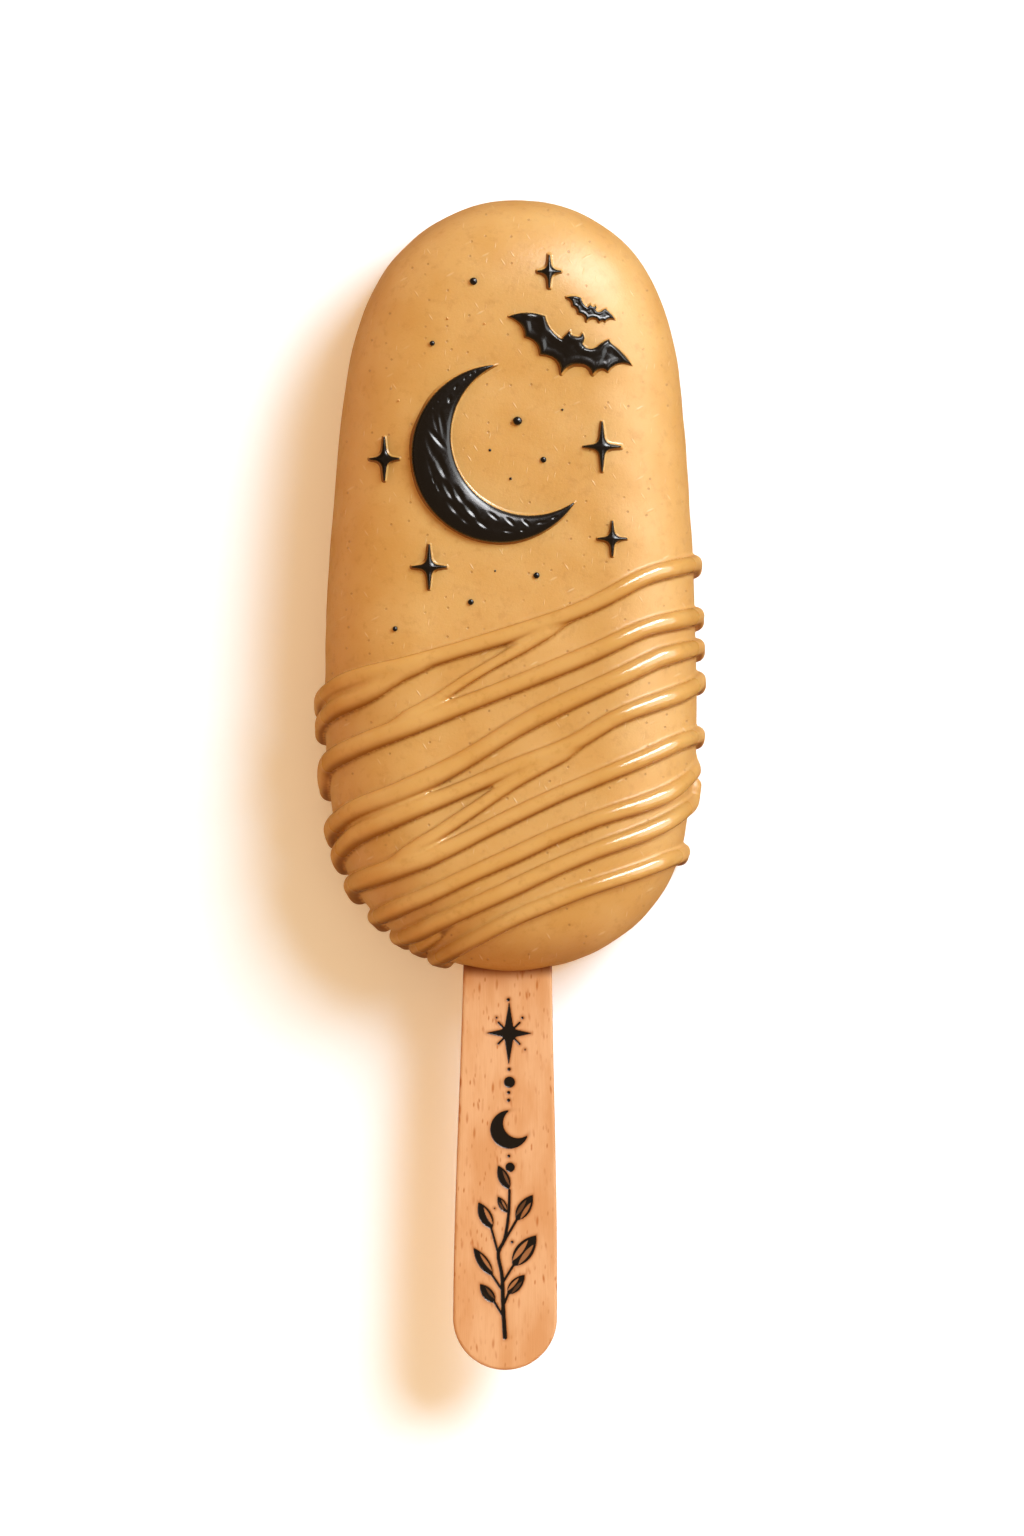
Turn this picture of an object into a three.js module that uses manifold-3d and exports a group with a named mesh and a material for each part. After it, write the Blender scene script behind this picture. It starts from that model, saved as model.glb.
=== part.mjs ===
// A cakesicle: a small coated cake on a wooden stick, lying on its flat back.
// Millimetres. +X is across, +Y is towards the round tip, +Z is out of the decorated face.
// The origin is the middle of the flat back, in the plane that the cake lies on.

import * as THREE from "three";
import { ParametricGeometry } from "three/addons/geometries/ParametricGeometry.js";
import { TessellateModifier } from "three/addons/modifiers/TessellateModifier.js";
import { mergeVertices } from "three/addons/utils/BufferGeometryUtils.js";
import Module from "manifold-3d";

const wasm = await Module();
wasm.setup();

// Cake
const CAKE_TIP_Y = 45;
const CAKE_THICKNESS = 23;
const SHOULDER_RADIUS = 11;
const SHOULDER_STEPS = 8;
const BACK_FILLET = 3;
const BACK_FILLET_STEPS = 3;
const CROWN_ACROSS = 0.6;
const CROWN_ALONG = 0.5;
const HALF_WIDTH = 21.7;
const FACE_INSETS = [17, 14];
// The tip leans to +X by this much, growing with the square of the height above LEAN_START_Y
const TIP_LEAN = 0.85;
const LEAN_START_Y = -5;
const BASE_OFFSET = -0.1;

// The right half of the outline from the tip down, as arcs that meet without a corner.
// A last arc, centred on the middle line, closes it.
const OUTLINE_ARCS = [
  { radius: 18.2, turn: 66.6, steps: 12 },
  { radius: 35.4, turn: 16.8, steps: 3 },
  { radius: 349, turn: 5.8, steps: 6 },
  { radius: 99, turn: 10.2, steps: 4 },
  { radius: 18.4, turn: 46.9, steps: 9 },
];
const CLOSING_STEPS = 6;

// Drizzle: round strands of coating that lie in the surface and run down over both sides.
// Each path is seen from the front, from left to right or from the strand that it leaves.
const STRAND_LIFT = 0.15;
const STRAND_SIDES = 6;
const STRAND_STEP = 3.2;
// Heights at which a strand end is led down the side and round the lower edge, and how far it slips
// along the outline from each height to the next
const STRAND_DROP_HEIGHTS = [8, 4, 0.8, -1.6];
const STRAND_DROP_DRIFT = { left: 0.8, right: 0.3 };
const STRANDS = [
  {
    over: "both",
    radius: 0.98,
    path: [[-22.1, -13.4], [-20, -11.7], [-11.3, -9], [2.1, -4.9], [8.8, -2.4], [15.5, 1.1], [21.6, 2.7]],
  },
  {
    over: "start",
    radius: 0.95,
    path: [[-22.6, -16.2], [-20.3, -14.3], [-16.8, -12.6], [-12, -9.9], [-7, -7.7]],
  },
  {
    over: "none",
    radius: 0.66,
    path: [[7.8, -3.2], [2.1, -6.6], [-4.6, -10.5], [-8.9, -13.3], [-13.5, -15.9], [-15.5, -17.3]],
  },
  {
    over: "both",
    radius: 1.06,
    path: [
      [-22.4, -22.8], [-21.1, -20.8], [-17.9, -18.7], [-11.3, -16], [-1.2, -12.1], [8.8, -8], [15.5, -4.9],
      [21.8, -3.4],
    ],
  },
  {
    over: "both",
    radius: 1.15,
    path: [
      [-21.4, -28.6], [-17.9, -26], [-13, -24], [-6.4, -20.7], [2.1, -15.6], [13.1, -10.3], [17.2, -8.3],
      [22.1, -7],
    ],
  },
  {
    over: "both",
    radius: 0.98,
    path: [
      [-20.5, -31.7], [-17.9, -29], [-13, -26.6], [-6.4, -23.9], [0.1, -21.1], [6.6, -18.5], [12.1, -15.3],
      [22.2, -10.9],
    ],
  },
  {
    over: "none",
    radius: 0.8,
    path: [
      [9.5, -17], [6.6, -19.2], [3.4, -21], [0.1, -22.9], [-4.8, -26.2], [-8.1, -28.4], [-11.3, -30.5],
      [-15.5, -33.3],
    ],
  },
  {
    over: "both",
    radius: 0.95,
    path: [
      [-19.3, -35.5], [-17.9, -34.4], [-13, -32.6], [-9.7, -31.5], [-6.4, -30], [-1.5, -27.5], [5, -24.4],
      [9.9, -22.3], [18.8, -18.3], [22.1, -17.3],
    ],
  },
  {
    over: "start",
    radius: 0.97,
    path: [
      [-16.3, -39], [-13, -37.2], [-9.7, -35.8], [-4.8, -33.5], [0.1, -31.3], [5, -29], [9.9, -27],
      [18.2, -23.9], [20.3, -22.3], [21.6, -20.3], [21.9, -17.9],
    ],
  },
  {
    over: "both",
    radius: 1,
    path: [
      [-13.4, -41.1], [-10.5, -39.9], [-8.1, -38.7], [-4.8, -37.2], [0.1, -35], [5, -32.7], [9.9, -30.6],
      [18.1, -27.2], [19.9, -26], [21.4, -24.5], [21.9, -23.4],
    ],
  },
  {
    over: "both",
    radius: 0.95,
    path: [
      [-8.8, -43.3], [-6.4, -41.9], [-3.2, -40.2], [0.1, -38.5], [3.4, -37.1], [9.9, -34.6], [17.2, -32],
      [20.5, -31.1],
    ],
  },
  { over: "none", radius: 1, path: [[-11.4, -42.4], [-7.2, -40]] },
];

// Sugar pearls, half sunk in the coating: centre across, centre along, radius
const PEARLS = [
  [-4.4, 35.3, 0.44],
  [-9.2, 28.1, 0.3],
  [0.7, 19.1, 0.52],
  [3.7, 14.6, 0.34],
  [2.9, 1.2, 0.36],
  [-4.7, -1.9, 0.34],
  [-13.5, -5, 0.3],
];
// How far a pearl's middle stands above the face, as a share of its radius
const PEARL_RISE = 1 / 3;
const PEARL_DETAIL = 1;

// Decorations laid on the face, each this far off the faceted coating
const LAID_GAP = 0.15;

// Moon: the space between two circles
const MOON_OUTER = { x: -1.27, y: 15.3, radius: 10.28 };
const MOON_INNER = { x: 2.13, y: 17.3, radius: 9.21 };
const MOON_THICKNESS = 1.5;
const MOON_STEPS = 26;
// Section of the moon from its inner edge to its outer one: share of the width, share of the thickness.
// The lip along the inner edge stands highest, and the last points go back along the underside.
const MOON_SECTION = [
  [0, 0],
  [0, 0.5],
  [0.08, 0.95],
  [0.2, 1],
  [0.3, 0.72],
  [0.6, 0.85],
  [0.85, 0.62],
  [1, 0.3],
  [1, 0],
  [0.5, 0],
];

// Bat, wings level, head at the origin: each curve's bend point and end, clockwise from the left wing tip
const BAT_START = [-8.46, 0];
const BAT_CURVES = [
  [-6.9, 1.55, -4.5, 1.6],
  [-3.5, 0.1, -1.76, -0.19],
  [-1.55, 0.4, -1.22, 1.11],
  [-1.1, 0.75, -0.83, 0.69],
  [-0.2, 0.65, 0.11, 0.92],
  [0.18, 1.1, 0.25, 1.36],
  [0.55, 1.1, 0.69, 0.9],
  [0.75, 0.5, 0.7, 0.2],
  [1.6, -0.5, 2.42, 0.55],
  [2.7, 1.3, 3.39, 1.84],
  [3.6, 1.5, 3.98, 1.43],
  [5.7, 1, 6.96, 0],
  [5.1, 0.1, 4.59, -1.72],
  [3.6, -1.25, 3.07, -2.63],
  [2.4, -1.75, 1.4, -2.05],
  [0, -2.4, -0.33, -3.97],
  [-1.1, -1.9, -3.42, -2.76],
  [-4.1, -1.2, -5.79, -1.47],
  [-6.3, 0, -8.46, 0],
];
const BAT_CURVE_STEPS = 2;
const BAT_TURN = -21.5;
const BATS = {
  bat_large: { x: 7.52, y: 28.12, scale: 1, turn: BAT_TURN, thickness: 0.95 },
  bat_small: { x: 9.46, y: 32.04, scale: 0.4, turn: BAT_TURN - 3, thickness: 0.6 },
};
const BAT_BEVEL = 0.12;
const LONGEST_DRAPED_EDGE = 2;
const MOST_CUTS = 8;

// Stars with four points and hollow sides: centre, half width across, half height along
const STARS = {
  star_top: { x: 4.39, y: 36.45, across: 1.42, along: 1.96 },
  star_right: { x: 10.5, y: 16.13, across: 2.24, along: 2.95 },
  star_left: { x: -14.76, y: 14.73, across: 1.79, along: 2.58 },
  star_low_left: { x: -9.54, y: 2.18, across: 2.07, along: 2.64 },
  star_low_right: { x: 11.7, y: 5.45, across: 1.77, along: 2.1 },
};
const STAR_STEPS = 24;
// How hollow the sides are: 1 gives a diamond, 3 a sharp four-pointed star
const STAR_HOLLOWNESS = 3.2;
const STAR_PEAK = 1;
const STAR_MIDWAY = 0.6;
const STAR_EDGE = 0.3;

// Stick: a flat craft stick with round ends and a narrow waist, pushed into the cake's lower end
const STICK_LENGTH = 113;
const STICK_THICKNESS = 2;
const STICK_WAIST = 10.15;
const STICK_END_WIDTH = 12.1;
const STICK_EDGE = 0.35;
const STICK_STEPS = 6;
const STICK_END_SEGMENTS = 8;
const STICK_END_Y = -91.2;
const STICK_TURN = -0.43;
const STICK_AXIS_X = -0.45;
const STICK_MIDDLE_Z = 12;
const STICK_CLEARANCE = 0.3;

// Burnt design, sunk in the stick's upper face. Places are across from its axis and up from its outer end.
const BURN_DEPTH = 0.2;
const BURN_SEGMENTS = 4;
const BURN_STEM_WIDTH = 0.3;
const BURN_DOTS = [
  [0.1, 43.1, 0.2],
  [0.25, 35, 0.2],
  [0.3, 33.5, 0.65],
  [0.22, 32.3, 0.2],
  [0.22, 31.4, 0.2],
  [0.3, 24.9, 0.18],
  [0.45, 23.6, 0.55],
  [-1.25, 41, 0.14],
  [1.75, 41, 0.16],
];
const BURN_STAR = { x: 0.2, y: 39.2, across: 2.56, along: 3.5, waist: 0.26, diagonal: 1.75, stroke: 0.22 };
const BURN_CRESCENT_OUTER = { x: 0.35, y: 28, radius: 2.25 };
const BURN_CRESCENT_INNER = { x: 1.35, y: 28.75, radius: 1.75 };
// Sprig: its stem from the base up, then each leaf's base and tip and its greatest width
const BURN_STEM = [[0, 3.8], [-0.25, 7.5], [-0.4, 11], [-0.85, 13.7], [-0.2, 15], [0.3, 18], [0.4, 20.9]];
const BURN_LEAVES = [
  [0.35, 21, -0.95, 23.8, 1.3],
  [0.1, 18.3, -0.95, 20.2, 0.95],
  [1.2, 17.4, 3.1, 20.4, 1.55],
  [-1.6, 16.4, -3.2, 19.5, 1.5],
  [0.85, 12.1, 3.55, 15.7, 2.05],
  [-1.45, 10.9, -3.75, 14.2, 1.5],
  [0.25, 8.8, 2.25, 11.1, 1.35],
  [-1.2, 7.8, -2.95, 10, 1.3],
];
// Each stalk runs from inside the stem to a little way inside its leaf
const BURN_STALKS = [
  [-0.55, 14.3, 1.35, 17.65],
  [-0.75, 13.2, -1.75, 16.7],
  [-0.35, 10.1, 1.05, 12.4],
  [-0.45, 9.4, -1.62, 11.15],
  [-0.25, 7.4, 0.42, 9.05],
  [-0.2, 6.2, -1.35, 8.05],
];

const HALF_TURN = Math.PI;
const QUARTER_TURN = Math.PI / 2;
const radians = THREE.MathUtils.degToRad;
const WELD_TOLERANCE = 1e-4;
const CUT_TOLERANCE = 3e-3;

// Shared mesh steps

// Keeps only the positions, joins the points that meet, and drops triangles that have no area.
function weld(geometry, tolerance = WELD_TOLERANCE) {
  const plain = new THREE.BufferGeometry();
  plain.setAttribute("position", geometry.getAttribute("position"));
  plain.setIndex(geometry.getIndex());
  const merged = mergeVertices(plain, tolerance);
  const corners = merged.getIndex().array;
  const kept = [];
  for (let i = 0; i < corners.length; i += 3) {
    const [a, b, c] = corners.slice(i, i + 3);
    if (a !== b && b !== c && c !== a) kept.push(a, b, c);
  }
  merged.setIndex(kept);
  return merged;
}

// A closed surface from rows of points: columns run round it, rows from one end to the other.
function closedGrid(columns, rows, pointAt) {
  const place = (u, v, target) => {
    target.copy(pointAt(Math.round(u * columns) % columns, Math.round(v * rows)));
  };
  return weld(new ParametricGeometry(place, columns, rows));
}

function toSolid(geometry) {
  return new wasm.Manifold(
    new wasm.Mesh({
      numProp: 3,
      vertProperties: new Float32Array(geometry.getAttribute("position").array),
      triVerts: new Uint32Array(geometry.getIndex().array),
    }),
  );
}

function toGeometry(solid) {
  const mesh = solid.getMesh();
  const geometry = new THREE.BufferGeometry();
  geometry.setAttribute("position", new THREE.BufferAttribute(mesh.vertProperties, 3));
  geometry.setIndex(new THREE.BufferAttribute(mesh.triVerts, 1));
  return weld(geometry, CUT_TOLERANCE);
}

// A flat shape as a prism between two heights.
function prism(shape, low, high, curveSegments) {
  const geometry = new THREE.ExtrudeGeometry(shape, {
    depth: high - low,
    bevelEnabled: false,
    curveSegments,
  });
  return weld(geometry.translate(0, 0, low));
}

// Cake outline

// Each arc of the right half with its centre and the directions of its outward normal at its two ends,
// turned from +Y towards +X.
function traceOutline() {
  const arcs = [];
  const end = new THREE.Vector2(0, CAKE_TIP_Y);
  let facing = 0;
  const addArc = (radius, turn, steps) => {
    const centre = new THREE.Vector2(end.x - radius * Math.sin(facing), end.y - radius * Math.cos(facing));
    arcs.push({ centre, radius, from: facing, to: facing + turn, steps });
    facing += turn;
    end.set(centre.x + radius * Math.sin(facing), centre.y + radius * Math.cos(facing));
  };
  for (const { radius, turn, steps } of OUTLINE_ARCS) addArc(radius, radians(turn), steps);
  addArc(end.x / Math.sin(facing), HALF_TURN - facing, CLOSING_STEPS);
  return arcs;
}

const outlineArcs = traceOutline();

function lean(y) {
  const height = Math.max(0, y - LEAN_START_Y) / (CAKE_TIP_Y - LEAN_START_Y);
  return BASE_OFFSET + TIP_LEAN * height * height;
}

// Distance from the outline, less than zero inside it. Deep inside it stops at the shoulder's reach.
function outlineDistance(x, y) {
  const across = Math.abs(x - lean(y));
  let distance = -SHOULDER_RADIUS;
  for (const { centre, radius, from, to } of outlineArcs) {
    const dx = across - centre.x;
    const dy = y - centre.y;
    const facing = Math.atan2(dx, dy);
    if (facing >= from && facing <= to) distance = Math.max(distance, Math.hypot(dx, dy) - radius);
  }
  return distance;
}

// Points of the whole outline with their outward normals, clockwise from the tip.
function outlinePoints() {
  const right = [];
  for (const { centre, radius, from, to, steps } of outlineArcs) {
    for (let i = 0; i < steps; i += 1) {
      const facing = from + ((to - from) * i) / steps;
      const nx = Math.sin(facing);
      const ny = Math.cos(facing);
      right.push({ x: centre.x + radius * nx, y: centre.y + radius * ny, nx, ny });
    }
  }
  const last = outlineArcs.at(-1);
  const foot = { x: 0, y: last.centre.y - last.radius, nx: 0, ny: -1 };
  const left = right.slice(1).reverse().map(({ x, y, nx, ny }) => ({ x: -x, y, nx: -nx, ny }));
  return [...right, foot, ...left];
}

// Cake surface

// Height of the gently crowned face, before its shoulder rounds it off.
function crownHeight(x, y) {
  return CAKE_THICKNESS - CROWN_ACROSS * (x / HALF_WIDTH) ** 2 - CROWN_ALONG * (y / CAKE_TIP_Y) ** 2;
}

// Height of the finished face, shoulder included.
function faceHeight(x, y) {
  const inset = THREE.MathUtils.clamp(-outlineDistance(x, y), 0, SHOULDER_RADIUS);
  const reach = SHOULDER_RADIUS - inset;
  return crownHeight(x, y) - SHOULDER_RADIUS + Math.sqrt(SHOULDER_RADIUS ** 2 - reach ** 2);
}

// Where two faces meet in a rounded edge: the distance from both together.
function roundedMeeting(first, second, radius) {
  const corner = Math.hypot(Math.max(first + radius, 0), Math.max(second + radius, 0));
  return Math.min(Math.max(first, second), -radius) + corner;
}

function cakeDistance(point) {
  const side = outlineDistance(point.x, point.y);
  const front = roundedMeeting(side, point.z - crownHeight(point.x, point.y), SHOULDER_RADIUS);
  return roundedMeeting(front, -point.z, BACK_FILLET);
}

// Direction out of the cake at a point near its surface.
function outOfCake(point) {
  const step = 1e-3;
  const slope = new THREE.Vector3();
  for (const axis of ["x", "y", "z"]) {
    const ahead = point.clone();
    const behind = point.clone();
    ahead[axis] += step;
    behind[axis] -= step;
    slope[axis] = cakeDistance(ahead) - cakeDistance(behind);
  }
  return slope.normalize();
}

// Moves a point straight onto the surface that lies this far above the cake's.
function ontoCake(point, lift) {
  const rounds = 6;
  const moved = point.clone();
  for (let i = 0; i < rounds; i += 1) moved.addScaledVector(outOfCake(moved), lift - cakeDistance(moved));
  return moved;
}

// Rows of the cake's section from the middle of the face to the middle of the back.
function sectionRows() {
  const rows = FACE_INSETS.map((inset) => ({ inset, drop: 0 }));
  for (let i = 0; i <= SHOULDER_STEPS; i += 1) {
    const angle = (QUARTER_TURN * i) / SHOULDER_STEPS;
    const inset = SHOULDER_RADIUS * (1 - Math.sin(angle));
    rows.push({ inset, drop: SHOULDER_RADIUS * (1 - Math.cos(angle)) });
  }
  for (let i = 0; i <= BACK_FILLET_STEPS; i += 1) {
    const angle = (QUARTER_TURN * i) / BACK_FILLET_STEPS;
    rows.push({ inset: BACK_FILLET * (1 - Math.cos(angle)), height: BACK_FILLET * (1 - Math.sin(angle)) });
  }
  return rows;
}

function cakeBody() {
  const rim = outlinePoints();
  const section = sectionRows();
  const pointAt = (column, row) => {
    if (row === 0) return new THREE.Vector3(0, 0, crownHeight(0, 0));
    if (row > section.length) return new THREE.Vector3(0, 0, 0);
    const { inset, drop, height } = section[row - 1];
    const { x, y, nx, ny } = rim[column];
    const inY = y - inset * ny;
    const inX = x - inset * nx + lean(inY);
    return new THREE.Vector3(inX, inY, height ?? crownHeight(inX, inY) - drop);
  };
  return closedGrid(rim.length, section.length + 1, pointAt);
}

// Drizzle

// The points down the side of the cake below a strand's end.
function dropPoints([x, y]) {
  const out = outOfCake(new THREE.Vector3(x, y, STRAND_DROP_HEIGHTS[0]));
  const slip = x < 0 ? STRAND_DROP_DRIFT.left : -STRAND_DROP_DRIFT.right;
  const along = new THREE.Vector3(-out.y, out.x, 0).multiplyScalar(slip);
  return STRAND_DROP_HEIGHTS.map((height, i) =>
    new THREE.Vector3(x, y, height).addScaledVector(along, i + 1),
  );
}

function strandCurve({ path, over }) {
  const route = path.map(([x, y]) => new THREE.Vector3(x, y, faceHeight(x, y)));
  if (over === "both" || over === "start") route.unshift(...dropPoints(path[0]).reverse());
  if (over === "both") route.push(...dropPoints(path.at(-1)));
  const rough = new THREE.CatmullRomCurve3(route.map((point) => ontoCake(point, STRAND_LIFT)));
  const samples = rough.getSpacedPoints(Math.ceil(rough.getLength() / STRAND_STEP));
  return new THREE.CatmullRomCurve3(samples.map((point) => ontoCake(point, STRAND_LIFT)));
}

function strandSolid(strand) {
  const curve = strandCurve(strand);
  const section = new THREE.Shape();
  section.absarc(0, 0, strand.radius, 0, 2 * HALF_TURN);
  const tube = new THREE.ExtrudeGeometry(section, {
    // A full arc is cut into twice this many sides
    curveSegments: STRAND_SIDES / 2,
    steps: Math.ceil(curve.getLength() / STRAND_STEP),
    extrudePath: curve,
  });
  return toSolid(weld(tube));
}

function pearlSolid([x, y, radius]) {
  const ball = new THREE.IcosahedronGeometry(radius, PEARL_DETAIL);
  ball.translate(x, y, faceHeight(x, y) + PEARL_RISE * radius);
  return toSolid(weld(ball));
}

// Everything below the plane that the cake lies on.
function underTheTable() {
  const width = 200;
  const depth = 10;
  return toSolid(weld(new THREE.BoxGeometry(width, width, depth).translate(0, 0, -depth / 2)));
}

function coatedCake() {
  let cake = toSolid(cakeBody());
  for (const strand of STRANDS) cake = cake.add(strandSolid(strand));
  for (const pearl of PEARLS) cake = cake.add(pearlSolid(pearl));
  const slot = stickBlank(STICK_CLEARANCE).applyMatrix4(stickPlace());
  return toGeometry(cake.subtract(toSolid(slot)).subtract(underTheTable()));
}

// Moon

// The two points where the moon's circles cross.
function moonTips() {
  const dx = MOON_INNER.x - MOON_OUTER.x;
  const dy = MOON_INNER.y - MOON_OUTER.y;
  const apart = Math.hypot(dx, dy);
  const along = (apart ** 2 + MOON_OUTER.radius ** 2 - MOON_INNER.radius ** 2) / (2 * apart);
  const aside = Math.sqrt(MOON_OUTER.radius ** 2 - along ** 2);
  return [1, -1].map(
    (side) =>
      new THREE.Vector2(
        MOON_OUTER.x + (along * dx - side * aside * dy) / apart,
        MOON_OUTER.y + (along * dy + side * aside * dx) / apart,
      ),
  );
}

// A point on one of the moon's circles, share 0 at the first tip and 1 at the second.
function moonEdge(circle, tips, share) {
  const [from, to] = tips.map((tip) => Math.atan2(tip.y - circle.y, tip.x - circle.x));
  const sweep = (to - from + 2 * HALF_TURN) % (2 * HALF_TURN);
  const angle = from + sweep * share;
  const toEdge = new THREE.Vector2(Math.cos(angle), Math.sin(angle)).multiplyScalar(circle.radius);
  return toEdge.add(circle);
}

function moon() {
  const tips = moonTips();
  const widest = MOON_OUTER.radius - MOON_INNER.radius + Math.hypot(
    MOON_INNER.x - MOON_OUTER.x,
    MOON_INNER.y - MOON_OUTER.y,
  );
  return closedGrid(MOON_SECTION.length, MOON_STEPS, (column, row) => {
    const inner = moonEdge(MOON_INNER, tips, row / MOON_STEPS);
    const outer = moonEdge(MOON_OUTER, tips, row / MOON_STEPS);
    const [across, up] = MOON_SECTION[column];
    const { x, y } = inner.clone().lerp(outer, across);
    const thickness = MOON_THICKNESS * Math.sqrt(inner.distanceTo(outer) / widest);
    return new THREE.Vector3(x, y, faceHeight(x, y) + LAID_GAP + up * thickness);
  });
}

// Bats

function batShape() {
  const shape = new THREE.Shape();
  shape.moveTo(...BAT_START);
  for (const curve of BAT_CURVES) shape.quadraticCurveTo(...curve);
  return shape;
}

// A flat plate, cut fine enough to bend, laid over the face.
function bat({ x, y, scale, turn, thickness }) {
  const plate = new THREE.ExtrudeGeometry(batShape(), {
    depth: 1 - 2 * BAT_BEVEL,
    curveSegments: BAT_CURVE_STEPS,
    bevelThickness: BAT_BEVEL,
    bevelSize: BAT_BEVEL,
    bevelOffset: -BAT_BEVEL,
    bevelSegments: 1,
  });
  plate.translate(0, 0, BAT_BEVEL);
  plate.applyMatrix4(
    new THREE.Matrix4()
      .makeTranslation(x, y, 0)
      .multiply(new THREE.Matrix4().makeRotationZ(radians(turn)))
      .multiply(new THREE.Matrix4().makeScale(scale, scale, thickness)),
  );
  const fine = weld(new TessellateModifier(LONGEST_DRAPED_EDGE, MOST_CUTS).modify(plate));
  const place = fine.getAttribute("position");
  for (let i = 0; i < place.count; i += 1) {
    place.setZ(i, place.getZ(i) + LAID_GAP + faceHeight(place.getX(i), place.getY(i)));
  }
  return fine;
}

// Stars

// Rows from the peak to the middle of the underside: share of the outline's size, height
const STAR_ROWS = [
  [0, STAR_PEAK],
  [0.5, STAR_MIDWAY],
  [1, STAR_EDGE],
  [1, 0],
  [0, 0],
];

function star({ x, y, across, along }) {
  const hollow = (value) => Math.sign(value) * Math.abs(value) ** STAR_HOLLOWNESS;
  return closedGrid(STAR_STEPS, STAR_ROWS.length - 1, (column, row) => {
    const angle = (-2 * HALF_TURN * column) / STAR_STEPS;
    const [share, height] = STAR_ROWS[row];
    const px = x + share * across * hollow(Math.cos(angle));
    const py = y + share * along * hollow(Math.sin(angle));
    return new THREE.Vector3(px, py, faceHeight(px, py) + LAID_GAP + height);
  });
}

// Stick

// Outline of the stick in its own frame, with its middle at the origin, grown by some clearance.
function stickShape(growth) {
  const endRadius = STICK_END_WIDTH / 2;
  const straight = STICK_LENGTH / 2 - endRadius;
  const halfWidth = (share) => {
    const widening = Math.sin(QUARTER_TURN * share) ** 2;
    return THREE.MathUtils.lerp(STICK_WAIST / 2, endRadius, widening) + growth;
  };
  const shape = new THREE.Shape();
  shape.moveTo(halfWidth(1), -straight);
  for (let i = 1 - STICK_STEPS; i <= STICK_STEPS; i += 1) {
    shape.lineTo(halfWidth(i / STICK_STEPS), (straight * i) / STICK_STEPS);
  }
  shape.absarc(0, straight, endRadius + growth, 0, HALF_TURN);
  for (let i = STICK_STEPS - 1; i >= -STICK_STEPS; i -= 1) {
    shape.lineTo(-halfWidth(i / STICK_STEPS), (straight * i) / STICK_STEPS);
  }
  shape.absarc(0, -straight, endRadius + growth, HALF_TURN, 2 * HALF_TURN);
  return shape;
}

// The stick without its design, grown by some clearance on every side.
function stickBlank(growth) {
  const thickness = STICK_THICKNESS + 2 * growth;
  const blank = new THREE.ExtrudeGeometry(stickShape(growth), {
    depth: thickness - 2 * STICK_EDGE,
    curveSegments: STICK_END_SEGMENTS,
    bevelThickness: STICK_EDGE,
    bevelSize: STICK_EDGE,
    bevelOffset: -STICK_EDGE,
    bevelSegments: 1,
  });
  return weld(blank.translate(0, 0, STICK_EDGE - thickness / 2));
}

// Where the stick's own frame lies in the cake's.
function stickPlace() {
  const turn = new THREE.Matrix4().makeRotationZ(radians(STICK_TURN));
  const toEnd = new THREE.Vector3(0, -STICK_LENGTH / 2, 0).applyMatrix4(turn);
  const axisRun = (STICK_END_Y + CAKE_TIP_Y) * Math.tan(radians(-STICK_TURN));
  const end = new THREE.Vector3(STICK_AXIS_X + axisRun, STICK_END_Y, STICK_MIDDLE_Z);
  return turn.setPosition(end.sub(toEnd));
}

// A shape of the burnt design as a cutter through the stick's upper face.
function burn(shape) {
  const face = STICK_THICKNESS / 2;
  const cutter = prism(shape, face - BURN_DEPTH, face + BURN_DEPTH, BURN_SEGMENTS);
  return toSolid(cutter.translate(0, -STICK_LENGTH / 2, 0));
}

function dotShape([x, y, radius]) {
  const shape = new THREE.Shape();
  shape.absarc(x, y, radius, 0, 2 * HALF_TURN);
  return shape;
}

// A straight stroke of even width.
function strokeShape(fromX, fromY, toX, toY, width) {
  const aside = new THREE.Vector2(fromY - toY, toX - fromX).setLength(width / 2);
  return new THREE.Shape([
    new THREE.Vector2(fromX + aside.x, fromY + aside.y),
    new THREE.Vector2(fromX - aside.x, fromY - aside.y),
    new THREE.Vector2(toX - aside.x, toY - aside.y),
    new THREE.Vector2(toX + aside.x, toY + aside.y),
  ]);
}

// Two bowed edges between a leaf's base and its tip.
function leafShape([baseX, baseY, tipX, tipY, width]) {
  const middleX = (baseX + tipX) / 2;
  const middleY = (baseY + tipY) / 2;
  const aside = new THREE.Vector2(baseY - tipY, tipX - baseX).setLength(width);
  const shape = new THREE.Shape();
  shape.moveTo(baseX, baseY);
  shape.quadraticCurveTo(middleX + aside.x, middleY + aside.y, tipX, tipY);
  shape.quadraticCurveTo(middleX - aside.x, middleY - aside.y, baseX, baseY);
  return shape;
}

// Long points up, down and to the sides, with two thin strokes crossing between them.
function burntStarShapes() {
  const { x, y, across, along, waist, diagonal, stroke } = BURN_STAR;
  const points = new THREE.Shape();
  points.moveTo(x + across, y);
  points.quadraticCurveTo(x + waist, y + waist, x, y + along);
  points.quadraticCurveTo(x - waist, y + waist, x - across, y);
  points.quadraticCurveTo(x - waist, y - waist, x, y - along);
  points.quadraticCurveTo(x + waist, y - waist, x + across, y);
  const reach = diagonal * Math.SQRT1_2;
  return [
    points,
    strokeShape(x - reach, y - reach, x + reach, y + reach, stroke),
    strokeShape(x - reach, y + reach, x + reach, y - reach, stroke),
  ];
}

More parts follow.
